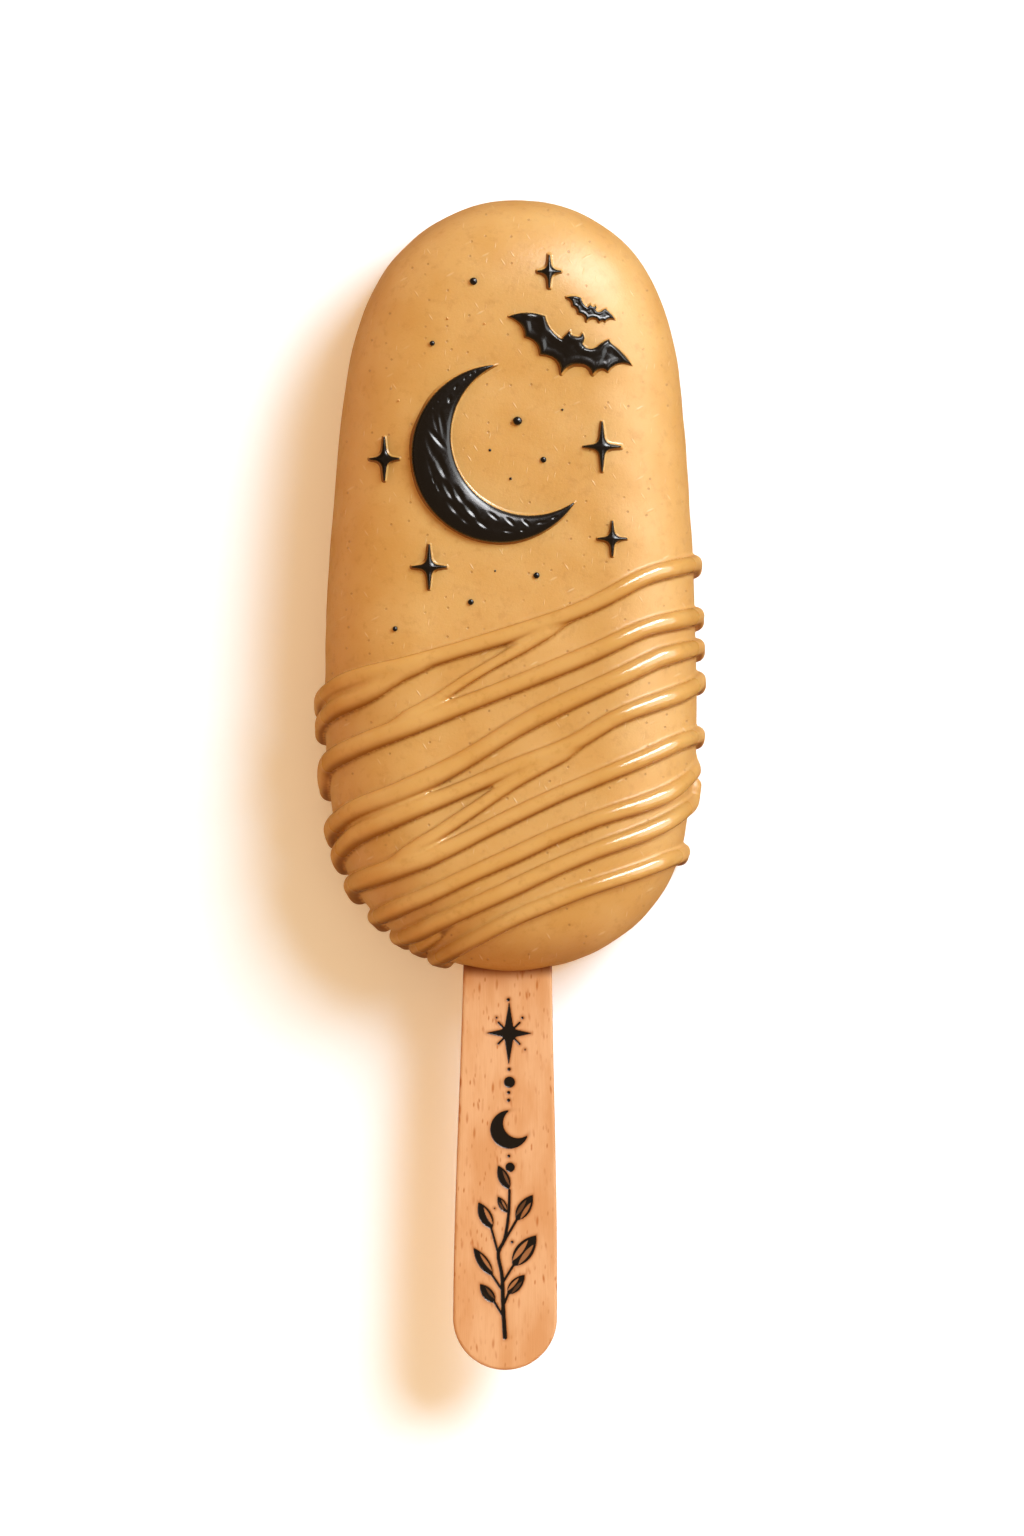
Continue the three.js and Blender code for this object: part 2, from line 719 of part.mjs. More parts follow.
// The sprig's stem as one even band along its bends.
function stemShape() {
  const bends = BURN_STEM.map(([x, y]) => new THREE.Vector2(x, y));
  const edge = (side) =>
    bends.map((bend, i) => {
      const before = bends[Math.max(i - 1, 0)];
      const after = bends[Math.min(i + 1, bends.length - 1)];
      const along = after.clone().sub(before).setLength(BURN_STEM_WIDTH / 2);
      return new THREE.Vector2(bend.x - side * along.y, bend.y + side * along.x);
    });
  return new THREE.Shape([...edge(-1), ...edge(1).reverse()]);
}

function burntDesign() {
  const shapes = [
    ...BURN_DOTS.map(dotShape),
    ...burntStarShapes(),
    stemShape(),
    ...BURN_STALKS.map((stalk) => strokeShape(...stalk, BURN_STEM_WIDTH)),
    ...BURN_LEAVES.map(leafShape),
  ];
  const circle = ({ x, y, radius }) => dotShape([x, y, radius]);
  const crescent = burn(circle(BURN_CRESCENT_OUTER)).subtract(burn(circle(BURN_CRESCENT_INNER)));
  return shapes.map(burn).reduce((all, one) => all.add(one), crescent);
}

function stick() {
  return toGeometry(toSolid(stickBlank(0)).subtract(burntDesign()));
}

// The whole

const coating = new THREE.MeshStandardMaterial({ color: 0xe4a75c, roughness: 0.35, metalness: 0 });
const blackSugar = new THREE.MeshStandardMaterial({ color: 0x241811, roughness: 0.3, metalness: 0 });
const birch = new THREE.MeshStandardMaterial({ color: 0xf5b682, roughness: 0.65, metalness: 0 });

const cakesicle = new THREE.Group();

function addMesh(name, geometry, material) {
  const mesh = new THREE.Mesh(geometry, material);
  mesh.name = name;
  cakesicle.add(mesh);
  return mesh;
}

addMesh("coated_cake", coatedCake(), coating);
addMesh("stick", stick(), birch).applyMatrix4(stickPlace());
addMesh("moon", moon(), blackSugar);
for (const [name, place] of Object.entries(BATS)) addMesh(name, bat(place), blackSugar);
for (const [name, place] of Object.entries(STARS)) addMesh(name, star(place), blackSugar);

export default cakesicle;
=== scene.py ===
# The looks of a cakesicle, a small coated cake on a wooden stick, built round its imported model.
# Shapes are worked out in millimetres and made in metres. +Y is towards the round tip, +Z out of the face.
from math import cos, hypot, pi, radians, sin, tan

import bmesh
import bpy
import numpy as np
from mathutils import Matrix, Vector


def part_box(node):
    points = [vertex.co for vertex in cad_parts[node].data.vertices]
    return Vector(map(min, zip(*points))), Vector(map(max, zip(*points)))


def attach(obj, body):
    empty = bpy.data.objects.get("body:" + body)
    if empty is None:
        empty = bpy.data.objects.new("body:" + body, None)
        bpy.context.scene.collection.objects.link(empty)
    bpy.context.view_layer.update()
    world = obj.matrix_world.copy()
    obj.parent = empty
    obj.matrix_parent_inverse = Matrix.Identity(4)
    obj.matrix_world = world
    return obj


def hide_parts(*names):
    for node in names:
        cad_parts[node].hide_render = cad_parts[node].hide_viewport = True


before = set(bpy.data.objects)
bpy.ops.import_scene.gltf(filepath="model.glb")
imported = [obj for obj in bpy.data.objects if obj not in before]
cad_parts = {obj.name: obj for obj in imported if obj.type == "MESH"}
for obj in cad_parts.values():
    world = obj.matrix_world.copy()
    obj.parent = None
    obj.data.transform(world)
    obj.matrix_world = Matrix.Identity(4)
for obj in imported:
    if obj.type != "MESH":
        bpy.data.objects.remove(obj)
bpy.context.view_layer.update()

MM = 0.001
BODY = "root"

# Cake
CAKE_TIP_Y = 45.0
CAKE_THICKNESS = 23.0
SHOULDER_RADIUS = 11.0
BACK_FILLET = 3.0
CROWN_ACROSS = 0.6
CROWN_ALONG = 0.5
HALF_WIDTH = 21.7
TIP_LEAN = 0.85
LEAN_START_Y = -5.0
BASE_OFFSET = -0.1
# The right half of the outline from the tip down: radius and turn in degrees of arcs that meet smoothly
OUTLINE_ARCS = [(18.2, 66.6), (35.4, 16.8), (349.0, 5.8), (99.0, 10.2), (18.4, 46.9)]
CAKE_CELL = 0.3

# Slow waves that leave the coating a little uneven
WAVE_COUNT = 14
WAVE_HEIGHT = 0.014
WAVE_LENGTHS = (5.0, 19.0)
WAVE_SEED = 11

# Drizzle
STRAND_LIFT = 0.28
STRAND_SIDE_LIFT = 0.05
STRAND_STEP = 0.5
STRAND_REACH = 2.1
# How softly a strand flows into the cake, and into another strand
STRAND_BLEND = 0.22
STRAND_JOIN = 0.5
STRAND_GROUP = 10
# Heights at which a strand's end is led down the side, and how far it slips along the outline
STRAND_DROP_HEIGHTS = [8.0, 4.0, 1.2]
STRAND_DROP_SLIPS = {"left": [0.6, 1.0, 1.15], "right": [0.3, 0.6, 0.7]}
STRAND_RIPPLE = 0.03
STRAND_RIPPLE_LENGTH = 17.0
# Heights between which a strand comes to lie closer to the cake
STRAND_SIDE = (19.5, 15.5)
# Ends that stop on the face thin out and sink in, over this length
STRAND_TAPER = 5.0
STRAND_TAPERED = 0.25
STRAND_SUNK_END = -0.35
# Shares of a strand's length: its left radius holds to the first, its middle one between the next two, and
# its right one from the last
STRAND_PARTS = [0.28, 0.42, 0.7, 0.8]
# Which ends run down the side, the radii, and the path seen from the front
STRANDS = [
    ("both", (1.2, 0.95, 1.05), [
        (-22.1, -13.4), (-20, -11.7), (-11.3, -9), (2.1, -4.9), (8.8, -2.4), (15.5, 1.1), (21.6, 2.7)]),
    ("start", (1.2, 1.15, 0.9), [(-22.6, -16.2), (-20.3, -14.3), (-16.8, -12.6), (-12, -9.9), (-7, -7.7)]),
    ("none", (0.78, 0.62, 0.68), [
        (7.8, -3.2), (2.1, -6.6), (-4.6, -10.5), (-8.9, -13.3), (-13.5, -15.9), (-15.5, -17.3)]),
    ("both", (1.28, 1.04, 1.08), [
        (-22.4, -22.8), (-21.1, -20.8), (-17.9, -18.7), (-11.3, -16), (-1.2, -12.1), (8.8, -8),
        (15.5, -4.9), (21.8, -3.4)]),
    ("both", (1.3, 1.12, 1.05), [
        (-21.4, -28.6), (-17.9, -26), (-13, -24), (-6.4, -20.7), (2.1, -15.6), (13.1, -10.3), (17.2, -8.3),
        (22.1, -7)]),
    ("both", (1.22, 0.98, 1.08), [
        (-20.5, -31.7), (-17.9, -29), (-13, -26.6), (-6.4, -23.9), (0.1, -21.1), (6.6, -18.5),
        (12.1, -15.3), (22.2, -10.9)]),
    ("none", (0.78, 0.78, 0.88), [
        (9.5, -17), (6.6, -19.2), (3.4, -21), (0.1, -22.9), (-4.8, -26.2), (-8.1, -28.4), (-11.3, -30.5),
        (-15.5, -33.3)]),
    ("both", (1.28, 0.92, 1.05), [
        (-19.3, -35.5), (-17.9, -34.4), (-13, -32.6), (-9.7, -31.5), (-6.4, -30), (-1.5, -27.5), (5, -24.4),
        (9.9, -22.3), (18.8, -18.3), (22.1, -17.3)]),
    ("start", (1.12, 0.96, 1.02), [
        (-16.3, -39), (-13, -37.2), (-9.7, -35.8), (-4.8, -33.5), (0.1, -31.3), (5, -29), (9.9, -27),
        (18.2, -23.9), (20.3, -22.3), (21.6, -20.3), (21.9, -17.9)]),
    ("both", (1.12, 1.0, 1.08), [
        (-13.4, -41.1), (-10.5, -39.9), (-8.1, -38.7), (-4.8, -37.2), (0.1, -35), (5, -32.7), (9.9, -30.6),
        (18.1, -27.2), (19.9, -26), (21.4, -24.5), (21.9, -23.4)]),
    ("both", (1.08, 0.96, 1.05), [
        (-8.8, -43.3), (-6.4, -41.9), (-3.2, -40.2), (0.1, -38.5), (3.4, -37.1), (9.9, -34.6), (17.2, -32),
        (20.5, -31.1)]),
    ("start", (0.9, 0.9, 0.8), [(-11.2, -42.3), (-9.4, -41.1), (-7, -39.6)]),
]

# Marks on the coating, for its colour and shine: heights above the cake over which a strand begins, and
# above the table over which the face does
STRAND_RISE = (0.05, 0.4)
FACE_RISE = (13.0, 17.0)
# Painted shade in a fold reaches this far out, and is weaker above a strand
CREASE_SHADE_REACH = 0.25
CREASE_SHADE_ABOVE = 0.35
# Painted shade on a strand's flanks, the steeper the darker: power for the lower one, share and power for the
# upper
LOWER_FLANK_SHADE = 1.5
UPPER_FLANK_SHADE = (0.7, 5)
# Painted shade near the cake's edge and at its lower end
EDGE_SHADE_REACH = 3.5
EDGE_SHADE_DEPTH = 0.38
LOWER_END = (-36.0, -44.0)
LOWER_END_SHADE_DEPTH = 0.5

# Sugar pearls and specks, sunk in the coating: centre across, centre along, radius
PEARLS = [
    (-4.4, 35.3, 0.44), (-9.2, 28.1, 0.3), (0.7, 19.1, 0.52), (3.7, 14.6, 0.34), (2.9, 1.2, 0.36),
    (-4.7, -1.9, 0.34), (-13.5, -5, 0.3), (5.9, 20.4, 0.13), (-2.5, 15.7, 0.16), (-0.1, 12.4, 0.15),
    (-1.9, 1.7, 0.12),
]
# Tiny drops of the coating itself
COATING_BEADS = [(-7.4, 31, 0.15), (-3.1, 30.4, 0.13), (-13.1, 21.5, 0.15)]
# How far they are sunk, as shares of the radius
PEARL_SUNK = 0.6
BEAD_SUNK = 0.5
BALL_DETAIL = 4
BALL_WOBBLE = 0.03
BALL_SEED = 5

# Decorations lie on the face, sunk into it, with their tops as far out as the model has them
LAID_GAP = 0.15
LAID_SINK = 0.25

# Coating that creeps up round each decoration
CREEP_REACH = 0.36
CREEP_HEIGHT = 0.26
CREEP_FOOT = 0.05
CREEP_INSIDE = 0.2
CREEP_MOST = 1.2

# Moon
MOON_OUTER = (-1.27, 15.3, 10.28)
MOON_INNER = (2.13, 17.3, 9.21)
MOON_GROWTH = 0.05
MOON_THICKNESS = 1.5
MOON_CELL = 0.1
MOON_EDGE = 0.2
MOON_TIP = 0.22
MOON_ROOM = 0.3
MOON_TALLEST = 1.3
# Inner and outer edge: its height as a share of the thickness, and how far across it slopes
MOON_INNER_SLOPE = (0.4, 0.42)
MOON_OUTER_SLOPE = (0.38, 0.36)
# Soft flutes and hollows carved into the moon: centre, half length, half width, turn in degrees, depth
MOON_HOLLOWS = [
    (-7.95, 18.5, 2.16, 0.41, -80, 0.17), (-8.75, 18.8, 1.56, 0.32, -76, 0.1),
    (-8.5, 16.9, 1.92, 0.41, -50, 0.19), (-9.35, 15.9, 1.8, 0.46, -72, 0.14),
    (-8.15, 13.9, 2.16, 0.6, -66, 0.26), (-9.35, 13.6, 1.44, 0.34, -74, 0.1),
    (-7.3, 11.1, 1.56, 0.48, -62, 0.19), (-6.1, 10.6, 1.44, 0.53, -60, 0.23),
    (-8.5, 11.4, 0.84, 0.25, -70, 0.1), (-9.0, 12.2, 0.55, 0.23, -74, 0.11),
    (-6.7, 9.0, 1.32, 0.48, -52, 0.17), (-4.7, 8.8, 1.44, 0.51, -50, 0.23),
    (-5.4, 7.6, 1.08, 0.37, -42, 0.12), (-3.4, 7.2, 1.2, 0.41, -38, 0.17),
    (-2.1, 8.1, 0.96, 0.32, -40, 0.14), (-0.2, 7.5, 1.02, 0.34, -44, 0.14),
    (1.7, 7.3, 0.78, 0.28, -44, 0.13), (-0.4, 6.3, 0.84, 0.25, -4, 0.1), (1.3, 6.4, 0.44, 0.21, 5, 0.11),
    (3.5, 7.3, 0.84, 0.21, 8, 0.1), (5.0, 7.9, 0.55, 0.17, 22, 0.11), (-7.15, 21.6, 0.53, 0.3, 75, 0.2),
    (-8.4, 21.4, 0.22, 0.14, 70, 0.08), (-9.0, 20.6, 0.24, 0.14, 70, 0.08),
    (-9.45, 19.7, 0.22, 0.14, 72, 0.07), (-6.45, 23.0, 0.4, 0.18, 62, 0.14),
    (-5.4, 24.0, 0.29, 0.15, 58, 0.1), (-4.7, 24.5, 0.26, 0.14, 54, 0.09),
    (-4.1, 24.85, 0.24, 0.13, 50, 0.07),
]
# The ridge round a hollow: height as a share of the depth, place and width as shares of the size
HOLLOW_RIDGE = (0.06, 1.15, 0.3)

# Bat, wings level, head at the origin: each curve's bend point and end, clockwise from the left wing tip
BAT_START = (-8.46, 0)
BAT_CURVES = [
    (-6.9, 1.55, -4.5, 1.6), (-3.5, 0.1, -1.76, -0.19), (-1.55, 0.4, -1.22, 1.11),
    (-1.1, 0.75, -0.83, 0.69), (-0.2, 0.65, 0.11, 0.92), (0.18, 1.1, 0.25, 1.36), (0.55, 1.1, 0.69, 0.9),
    (0.75, 0.5, 0.7, 0.2), (1.6, -0.5, 2.42, 0.55), (2.7, 1.3, 3.39, 1.84), (3.6, 1.5, 3.98, 1.43),
    (5.7, 1, 6.96, 0), (5.1, 0.1, 4.59, -1.72), (3.6, -1.25, 3.07, -2.63), (2.4, -1.75, 1.4, -2.05),
    (0, -2.4, -0.33, -3.97), (-1.1, -1.9, -3.42, -2.76), (-4.1, -1.2, -5.79, -1.47), (-6.3, 0, -8.46, 0),
]
BAT_CURVE_STEPS = 6
BAT_TURN = -21.5
# Centre, scale, turn and thickness of each bat
BATS = {
    "bat_large": (7.52, 28.12, 1.0, BAT_TURN, 0.95),
    "bat_small": (9.46, 32.04, 0.4, BAT_TURN - 3, 0.6),
}
BAT_CELL = 0.09
BAT_EDGE = 0.16
# Cell and edge at scale 0, as shares of those at scale 1
BAT_FINENESS = 0.4
BAT_HALF_SPAN = 9.0
BAT_HALF_HEIGHT = 4.8
BAT_TALLEST = 1.4
# Raised bones of the wings and the body: from, to, half width, height as a share of the thickness
BAT_RIBS = [
    (-6.5, 1.3, -5.95, -1.3, 0.5, 0.26), (-4.5, 1.5, -3.5, -2.5, 0.5, 0.26),
    (-0.3, 0.5, -0.33, -3.4, 0.9, 0.26), (3.2, 1.6, 2.95, -2.4, 0.5, 0.16),
    (3.7, 1.3, 4.5, -1.5, 0.5, 0.07), (-4.3, 1.3, -1.9, -0.2, 0.35, 0.18),
    (1.2, -0.4, 3.2, 1.6, 0.35, 0.14), (4.0, 1.3, 6.6, 0.1, 0.35, 0.18),
]
BAT_RIB_SCALING = 0.7
BAT_RIB_START = 0.25
BAT_RIM = 0.4
BAT_PUFF = 0.5
BAT_HOLLOW = 0.34
BAT_HOLLOW_SPAN = (0.15, 1.15)

# Stars: centre, half width across, half height along
STARS = {
    "star_top": (4.39, 36.45, 1.42, 1.96),
    "star_right": (10.5, 16.13, 2.24, 2.95),
    "star_left": (-14.76, 14.73, 1.79, 2.58),
    "star_low_left": (-9.54, 2.18, 2.07, 2.64),
    "star_low_right": (11.7, 5.45, 1.77, 2.1),
}
STAR_CELL = 0.07
# Half width of the rays where they cross: share of the star's half height, and what is added
STAR_CORE = (0.4 / 2.95, 0.05)
STAR_TIP = 0.12
STAR_BLEND = 0.75
STAR_EDGE_HEIGHT = 0.22
STAR_RISE = 0.62
STAR_ROUNDING = 0.62
STAR_EDGE = 0.1
STAR_ROOM = 0.2
STAR_TALLEST = 1.5

# Stick, in its own frame: its middle at the origin, its outer end towards -Y
STICK_LENGTH = 113.0
STICK_THICKNESS = 2.0
STICK_WAIST = 10.15
STICK_END_WIDTH = 12.1
STICK_EDGE = 0.35
STICK_END_Y = -91.2
STICK_TURN = -0.43
STICK_AXIS_X = -0.45
STICK_MIDDLE_Z = 12.0
DESIGN_CELL = 0.1
DESIGN_HALF_WIDTH = 4.2
DESIGN_ROWS = (3.0, 44.0)
END_ROWS = 40
PLAIN_ROW_STEP = 1.5
RIM_INSETS = [1.25, 0.9, 0.6, 0.4, 0.28, 0.18, 0.1, 0.04, 0]
BACK_COLUMNS = 25

# Burnt design. Places are across from the stick's axis and up from its outer end
BURN_DEPTH = 0.13
BURN_SOFTNESS = 0.07
SCORCH_REACH = 0.28
# How far out from the cake the wood is darkened by painted shadow
PAINTED_SHADOW_REACH = 0.7
# The stick's edge is a little browner, this much and this far in
BROWNER_RIM = 0.45
BROWNER_RIM_REACH = 0.3
BURN_DOTS = [
    (0.1, 43.1, 0.2), (0.25, 35, 0.2), (0.3, 33.5, 0.65), (0.22, 32.3, 0.2), (0.22, 31.4, 0.2),
    (0.3, 24.9, 0.18), (0.45, 23.6, 0.55), (-1.25, 41, 0.12), (1.75, 41, 0.16), (2.1, 37.3, 0.1),
    (0.75, 14.9, 0.16), (-1.3, 18.8, 0.1),
]
# Centre, reach across and along, half width in the middle and at a tip, and how softly the rays meet
BURN_STAR = ((0.2, 39.2), 2.5, 3.5, 0.62, 0.05, 0.5)
# Reach and radius of its slanted rays
BURN_STAR_SLANTED = (1.75, 0.12)
BURN_CRESCENT_OUTER = (0.35, 28, 2.25)
BURN_CRESCENT_INNER = (1.35, 28.75, 1.75)
BURN_CRESCENT_TIP = 0.26
BURN_STEM = [(0, 3.8), (-0.25, 7.5), (-0.4, 11), (-0.85, 13.7), (-0.2, 15), (0.3, 18), (0.4, 20.9)]
BURN_STEM_RADII = (0.26, 0.16)
BURN_STEM_STEP = 0.6
BURN_STALK_RADIUS = 0.14
BURN_STALKS = [
    (-0.55, 14.3, 1.35, 17.65), (-0.75, 13.2, -1.75, 16.7), (-0.35, 10.1, 1.05, 12.4),
    (-0.45, 9.4, -1.62, 11.15), (-0.25, 7.4, 0.42, 9.05), (-0.2, 6.2, -1.35, 8.05),
]
# Leaves: base, tip, width, then how much wood shows left and right of the vein
BURN_LEAVES = [
    (0.35, 21, -0.95, 23.8, 1.3, 0.2, 0.5), (0.1, 18.3, -0.95, 20.2, 0.95, 0.45, 0.7),
    (1.2, 17.4, 3.1, 20.4, 1.55, 0.45, 0.75), (-1.6, 16.4, -3.2, 19.5, 1.5, 0.2, 0.95),
    (0.85, 12.1, 3.55, 15.7, 2.05, 0.85, 0.7), (-1.45, 10.9, -3.75, 14.2, 1.3, 0.15, 0.85),
    (0.25, 8.8, 2.25, 11.1, 1.35, 0.8, 0.4), (-1.2, 7.8, -2.95, 10, 1.3, 0.25, 0.45),
]
LEAF_TILT = 0.12
# The slits: length, width, place aside and nearer the base, as shares of the leaf's, and softness
SLIT_LENGTH = 0.68
SLIT_WIDTH = 0.3
SLIT_ASIDE = 0.2
SLIT_SHIFT = 0.06
SLIT_SOFTNESS = 0.1
# How bare the wood is in them
SLIT_BARE = 0.86

# Picture: the photograph's frame, looked at from straight above
PICTURE_WIDTH = 1024
PICTURE_HEIGHT = 1536
MM_PER_PIXEL = 90 / 773
ORIGIN_PIXEL = (511.5, 586.5)
CAMERA_DISTANCE = 2400.0
SENSOR = 36.0


# Curves and distances

def mix(a, b, share):
    return a + (b - a) * share


def smooth(value):
    """Runs gently from 0 to 1 as the value does."""
    value = np.clip(value, 0, 1)
    return value * value * (3 - 2 * value)


def ramp(value, low, high):
    """Runs gently from 0 to 1 as the value goes from low to high."""
    return smooth((value - low) / (high - low))


def rounded_rise(value):
    """Runs from 0 to 1 as a quarter of a circle does, steep first."""
    return np.sqrt(1 - (1 - np.clip(value, 0.02, 1)) ** 2)


def bump(value, centre, reach):
    """A soft hump of height 1."""
    return np.exp(-(((value - centre) / reach) ** 2))


def fading(distance, reach):
    """Fades from 1 on a surface to 0 far outside it."""
    return np.exp(-np.maximum(distance, 0) / reach)


def rounded_meeting(first, second, radius):
    """Distance from two faces that meet in a rounded edge."""
    corner = np.hypot(np.maximum(first + radius, 0), np.maximum(second + radius, 0))
    return np.minimum(np.maximum(first, second), -radius) + corner


def smooth_union(first, second, reach):
    """Distance from two solids that flow into each other where they meet."""
    near = np.maximum(reach - np.abs(first - second), 0) / reach
    return np.minimum(first, second) - near * near * reach / 4


def rod_distance(points, start, end, start_radius, end_radius):
    """Distance from a rod with round ends, whose radius changes evenly along it."""
    start = np.asarray(start, float)
    along = np.asarray(end, float) - start
    share = np.clip(((points - start) @ along) / (along @ along), 0, 1)
    aside = points - start - share[:, None] * along
    return np.sqrt((aside * aside).sum(axis=1)) - mix(start_radius, end_radius, share)


def polygon_distance(points, corners):
    """Distance from a flat outline, less than zero inside it."""
    nearest = np.full(len(points), np.inf)
    inside = np.zeros(len(points), bool)
    x, y = points.T
    for start, end in zip(corners, np.roll(corners, -1, axis=0)):
        nearest = np.minimum(nearest, rod_distance(points, start, end, 0, 0))
        spans = (start[1] > y) != (end[1] > y)
        if start[1] != end[1]:
            crossing = start[0] + (y - start[1]) * (end[0] - start[0]) / (end[1] - start[1])
            inside ^= spans & (x < crossing)
    return np.where(inside, -nearest, nearest)


def circle_distance(points, circle):
    x, y, radius = circle
    return np.hypot(points[:, 0] - x, points[:, 1] - y) - radius


def crescent_edges(points, outer, inner):
    """Distances from a crescent's outer and inner edges, less than zero on it."""
    return circle_distance(points, outer), -circle_distance(points, inner)


def crossed_rays(points, centre, across, along, core, tip, blend):
    """Distance from two crossing rays that taper from the core to the tip and flow into each other."""
    folded = np.abs(points - np.array(centre))
    level = rod_distance(folded, (0, 0), (across, 0), core, tip)
    upright = rod_distance(folded, (0, 0), (0, along), core, tip)
    return smooth_union(level, upright, blend)


def curve_span(points, knots, place):
    """Points between the two middle ones of four, on a Catmull-Rom curve with these knots."""
    def between(a, b, low, high):
        return mix(a, b, (place - low) / (high - low))

    once = [between(points[i], points[i + 1], knots[i], knots[i + 1]) for i in range(3)]
    twice = [between(once[i], once[i + 1], knots[i], knots[i + 2]) for i in range(2)]
    return between(twice[0], twice[1], knots[1], knots[2])


def lengths_along(points, power=1.0):
    """How far along a path its points are, from its steps to some power."""
    steps = np.linalg.norm(np.diff(points, axis=0), axis=1)
    return np.concatenate([[0], np.cumsum(steps**power)])


def smooth_route(points, step):
    """Evenly spaced points along a smooth curve through the given ones."""
    points = np.asarray(points, float)
    route = np.vstack([2 * points[0] - points[1], points, 2 * points[-1] - points[-2]])
    knots = lengths_along(route, 0.5)
    samples_per_span = 16
    samples = []
    for i in range(1, len(route) - 2):
        place = np.linspace(knots[i], knots[i + 1], samples_per_span, endpoint=False)[:, None]
        samples.append(curve_span(route[i - 1:i + 3], knots[i - 1:i + 3], place))
    samples = np.vstack([*samples, points[-1:]])
    length = lengths_along(samples)
    places = np.linspace(0, length[-1], max(int(length[-1] / step), 2) + 1)
    return np.stack([np.interp(places, length, column) for column in samples.T], axis=1)


# Surfaces

def surface_net(values):
    """Points and four-sided faces round the places of a grid where the value is less than zero."""
    cells = np.array(values.shape) - 1
    rings = []
    places = []
    for axis, way in enumerate(np.eye(3, dtype=int)):
        index = np.argwhere(np.diff(values < 0, axis=axis))
        low = values[tuple(index.T)]
        high = values[tuple((index + way).T)]
        steps = [np.roll((0, u, v), axis) for u, v in ((-1, -1), (0, -1), (0, 0), (-1, 0))]
        ring = np.stack([np.ravel_multi_index((index + step).T, cells) for step in steps], axis=1)
        ring[low > 0] = ring[low > 0][:, ::-1]
        rings.append(ring)
        places.append(index + (low / (low - high))[:, None] * way)
    rings = np.concatenate(rings)
    places = np.repeat(np.concatenate(places), 4, axis=0)
    faces = np.unique(rings, return_inverse=True)[1].reshape(rings.shape)
    count = np.bincount(faces.ravel())
    points = [np.bincount(faces.ravel(), weights=column) / count for column in places.T]
    return np.stack(points, axis=1), faces


def slopes_at(distance, points, step):
    """How steeply a distance grows along each axis."""
    slopes = [distance(points + step * way) - distance(points - step * way) for way in np.eye(3)]
    return np.stack(slopes, axis=1) / (2 * step)


def settle(distance, points, farthest):
    """Moves points that are near a surface straight onto it."""
    step = 0.02
    flattest = 0.3
    slope = slopes_at(distance, points, step)
    steepness = np.maximum((slope * slope).sum(axis=1), flattest)
    move = np.clip(distance(points) / steepness, -farthest, farthest)
    return points - move[:, None] * slope


def evened_out(points, faces):
    """Points moved halfway to the middle of their neighbours."""
    starts = faces.ravel()
    ends = np.roll(faces, -1, axis=1).ravel()
    here = np.concatenate([starts, ends])
    there = np.concatenate([ends, starts])
    count = np.bincount(here, minlength=len(points))
    sums = [np.bincount(here, weights=column[there], minlength=len(points)) for column in points.T]
    return mix(points, np.stack(sums, axis=1) / count[:, None], 0.5)


def solid_where(distance, low, high, cell):
    """Points and faces of the surface where the distance is zero, inside a box."""
    axes = [np.arange(a, b + cell, cell) for a, b in zip(low, high)]
    grid = np.stack(np.meshgrid(*axes, indexing="ij"), axis=-1)
    values = distance(grid.reshape(-1, 3)).reshape(grid.shape[:3])
    points, faces = surface_net(values)
    points = settle(distance, np.asarray(low) + points * cell, cell / 2)
    rounds = 2
    for _ in range(rounds):
        points = evened_out(evened_out(points, faces), faces)
        points = settle(distance, points, cell / 2)
    return points, faces


def add_object(name, data):
    added = bpy.data.objects.new(name, data)
    bpy.context.scene.collection.objects.link(added)
    return added


def make_piece(name, points, faces, material, slot, replaced, marks=None):
    """A mesh piece of the object, from points in millimetres. Marks are named values at its points."""
    mesh = bpy.data.meshes.new(name)
    mesh.from_pydata((np.asarray(points) * MM).tolist(), [], [list(face) for face in faces])
    for mark, values in (marks or {}).items():
        attribute = mesh.attributes.new(mark, "FLOAT", "POINT")
        attribute.data.foreach_set("value", np.asarray(values, np.float32))
    mesh.materials.append(material)
    tidy = bmesh.new()
    tidy.from_mesh(mesh)
    closest = 1e-3
    bmesh.ops.remove_doubles(tidy, verts=tidy.verts, dist=closest * MM)
    tidy.to_mesh(mesh)
    tidy.free()
    mesh.shade_smooth()
    piece = add_object(name, mesh)
    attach(piece, BODY)
    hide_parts(replaced)


# Cake body

def trace_outline():
    """Arcs of the outline's right half: centre, radius, and facing at both ends, from +Y towards +X."""
    arcs = []
    x, y, facing = 0.0, CAKE_TIP_Y, 0.0
    for radius, turn in OUTLINE_ARCS:
        centre = x - radius * sin(facing), y - radius * cos(facing)
        arcs.append((*centre, radius, facing, facing + radians(turn)))
        facing += radians(turn)
        x, y = centre[0] + radius * sin(facing), centre[1] + radius * cos(facing)
    closing = x / sin(facing)
    arcs.append((0.0, y - closing * cos(facing), closing, facing, pi))
    return arcs


OUTLINE = trace_outline()


def lean(y):
    height = np.maximum(0, y - LEAN_START_Y) / (CAKE_TIP_Y - LEAN_START_Y)
    return BASE_OFFSET + TIP_LEAN * height * height


def outline_distance(x, y):
    """Distance from the cake's outline. Deep inside it stops at the shoulder's reach."""
    across = np.abs(x - lean(y))
    distance = np.full(across.shape, -SHOULDER_RADIUS)
    for centre_x, centre_y, radius, start, end in OUTLINE:
        dx = across - centre_x
        dy = y - centre_y
        facing = np.arctan2(dx, dy)
        faced = (facing >= start) & (facing <= end)
        distance = np.where(faced, np.maximum(distance, np.hypot(dx, dy) - radius), distance)
    return distance


def crown_height(x, y):
    """Height of the gently crowned face, before its shoulder rounds it off."""
    return CAKE_THICKNESS - CROWN_ACROSS * (x / HALF_WIDTH) ** 2 - CROWN_ALONG * (y / CAKE_TIP_Y) ** 2


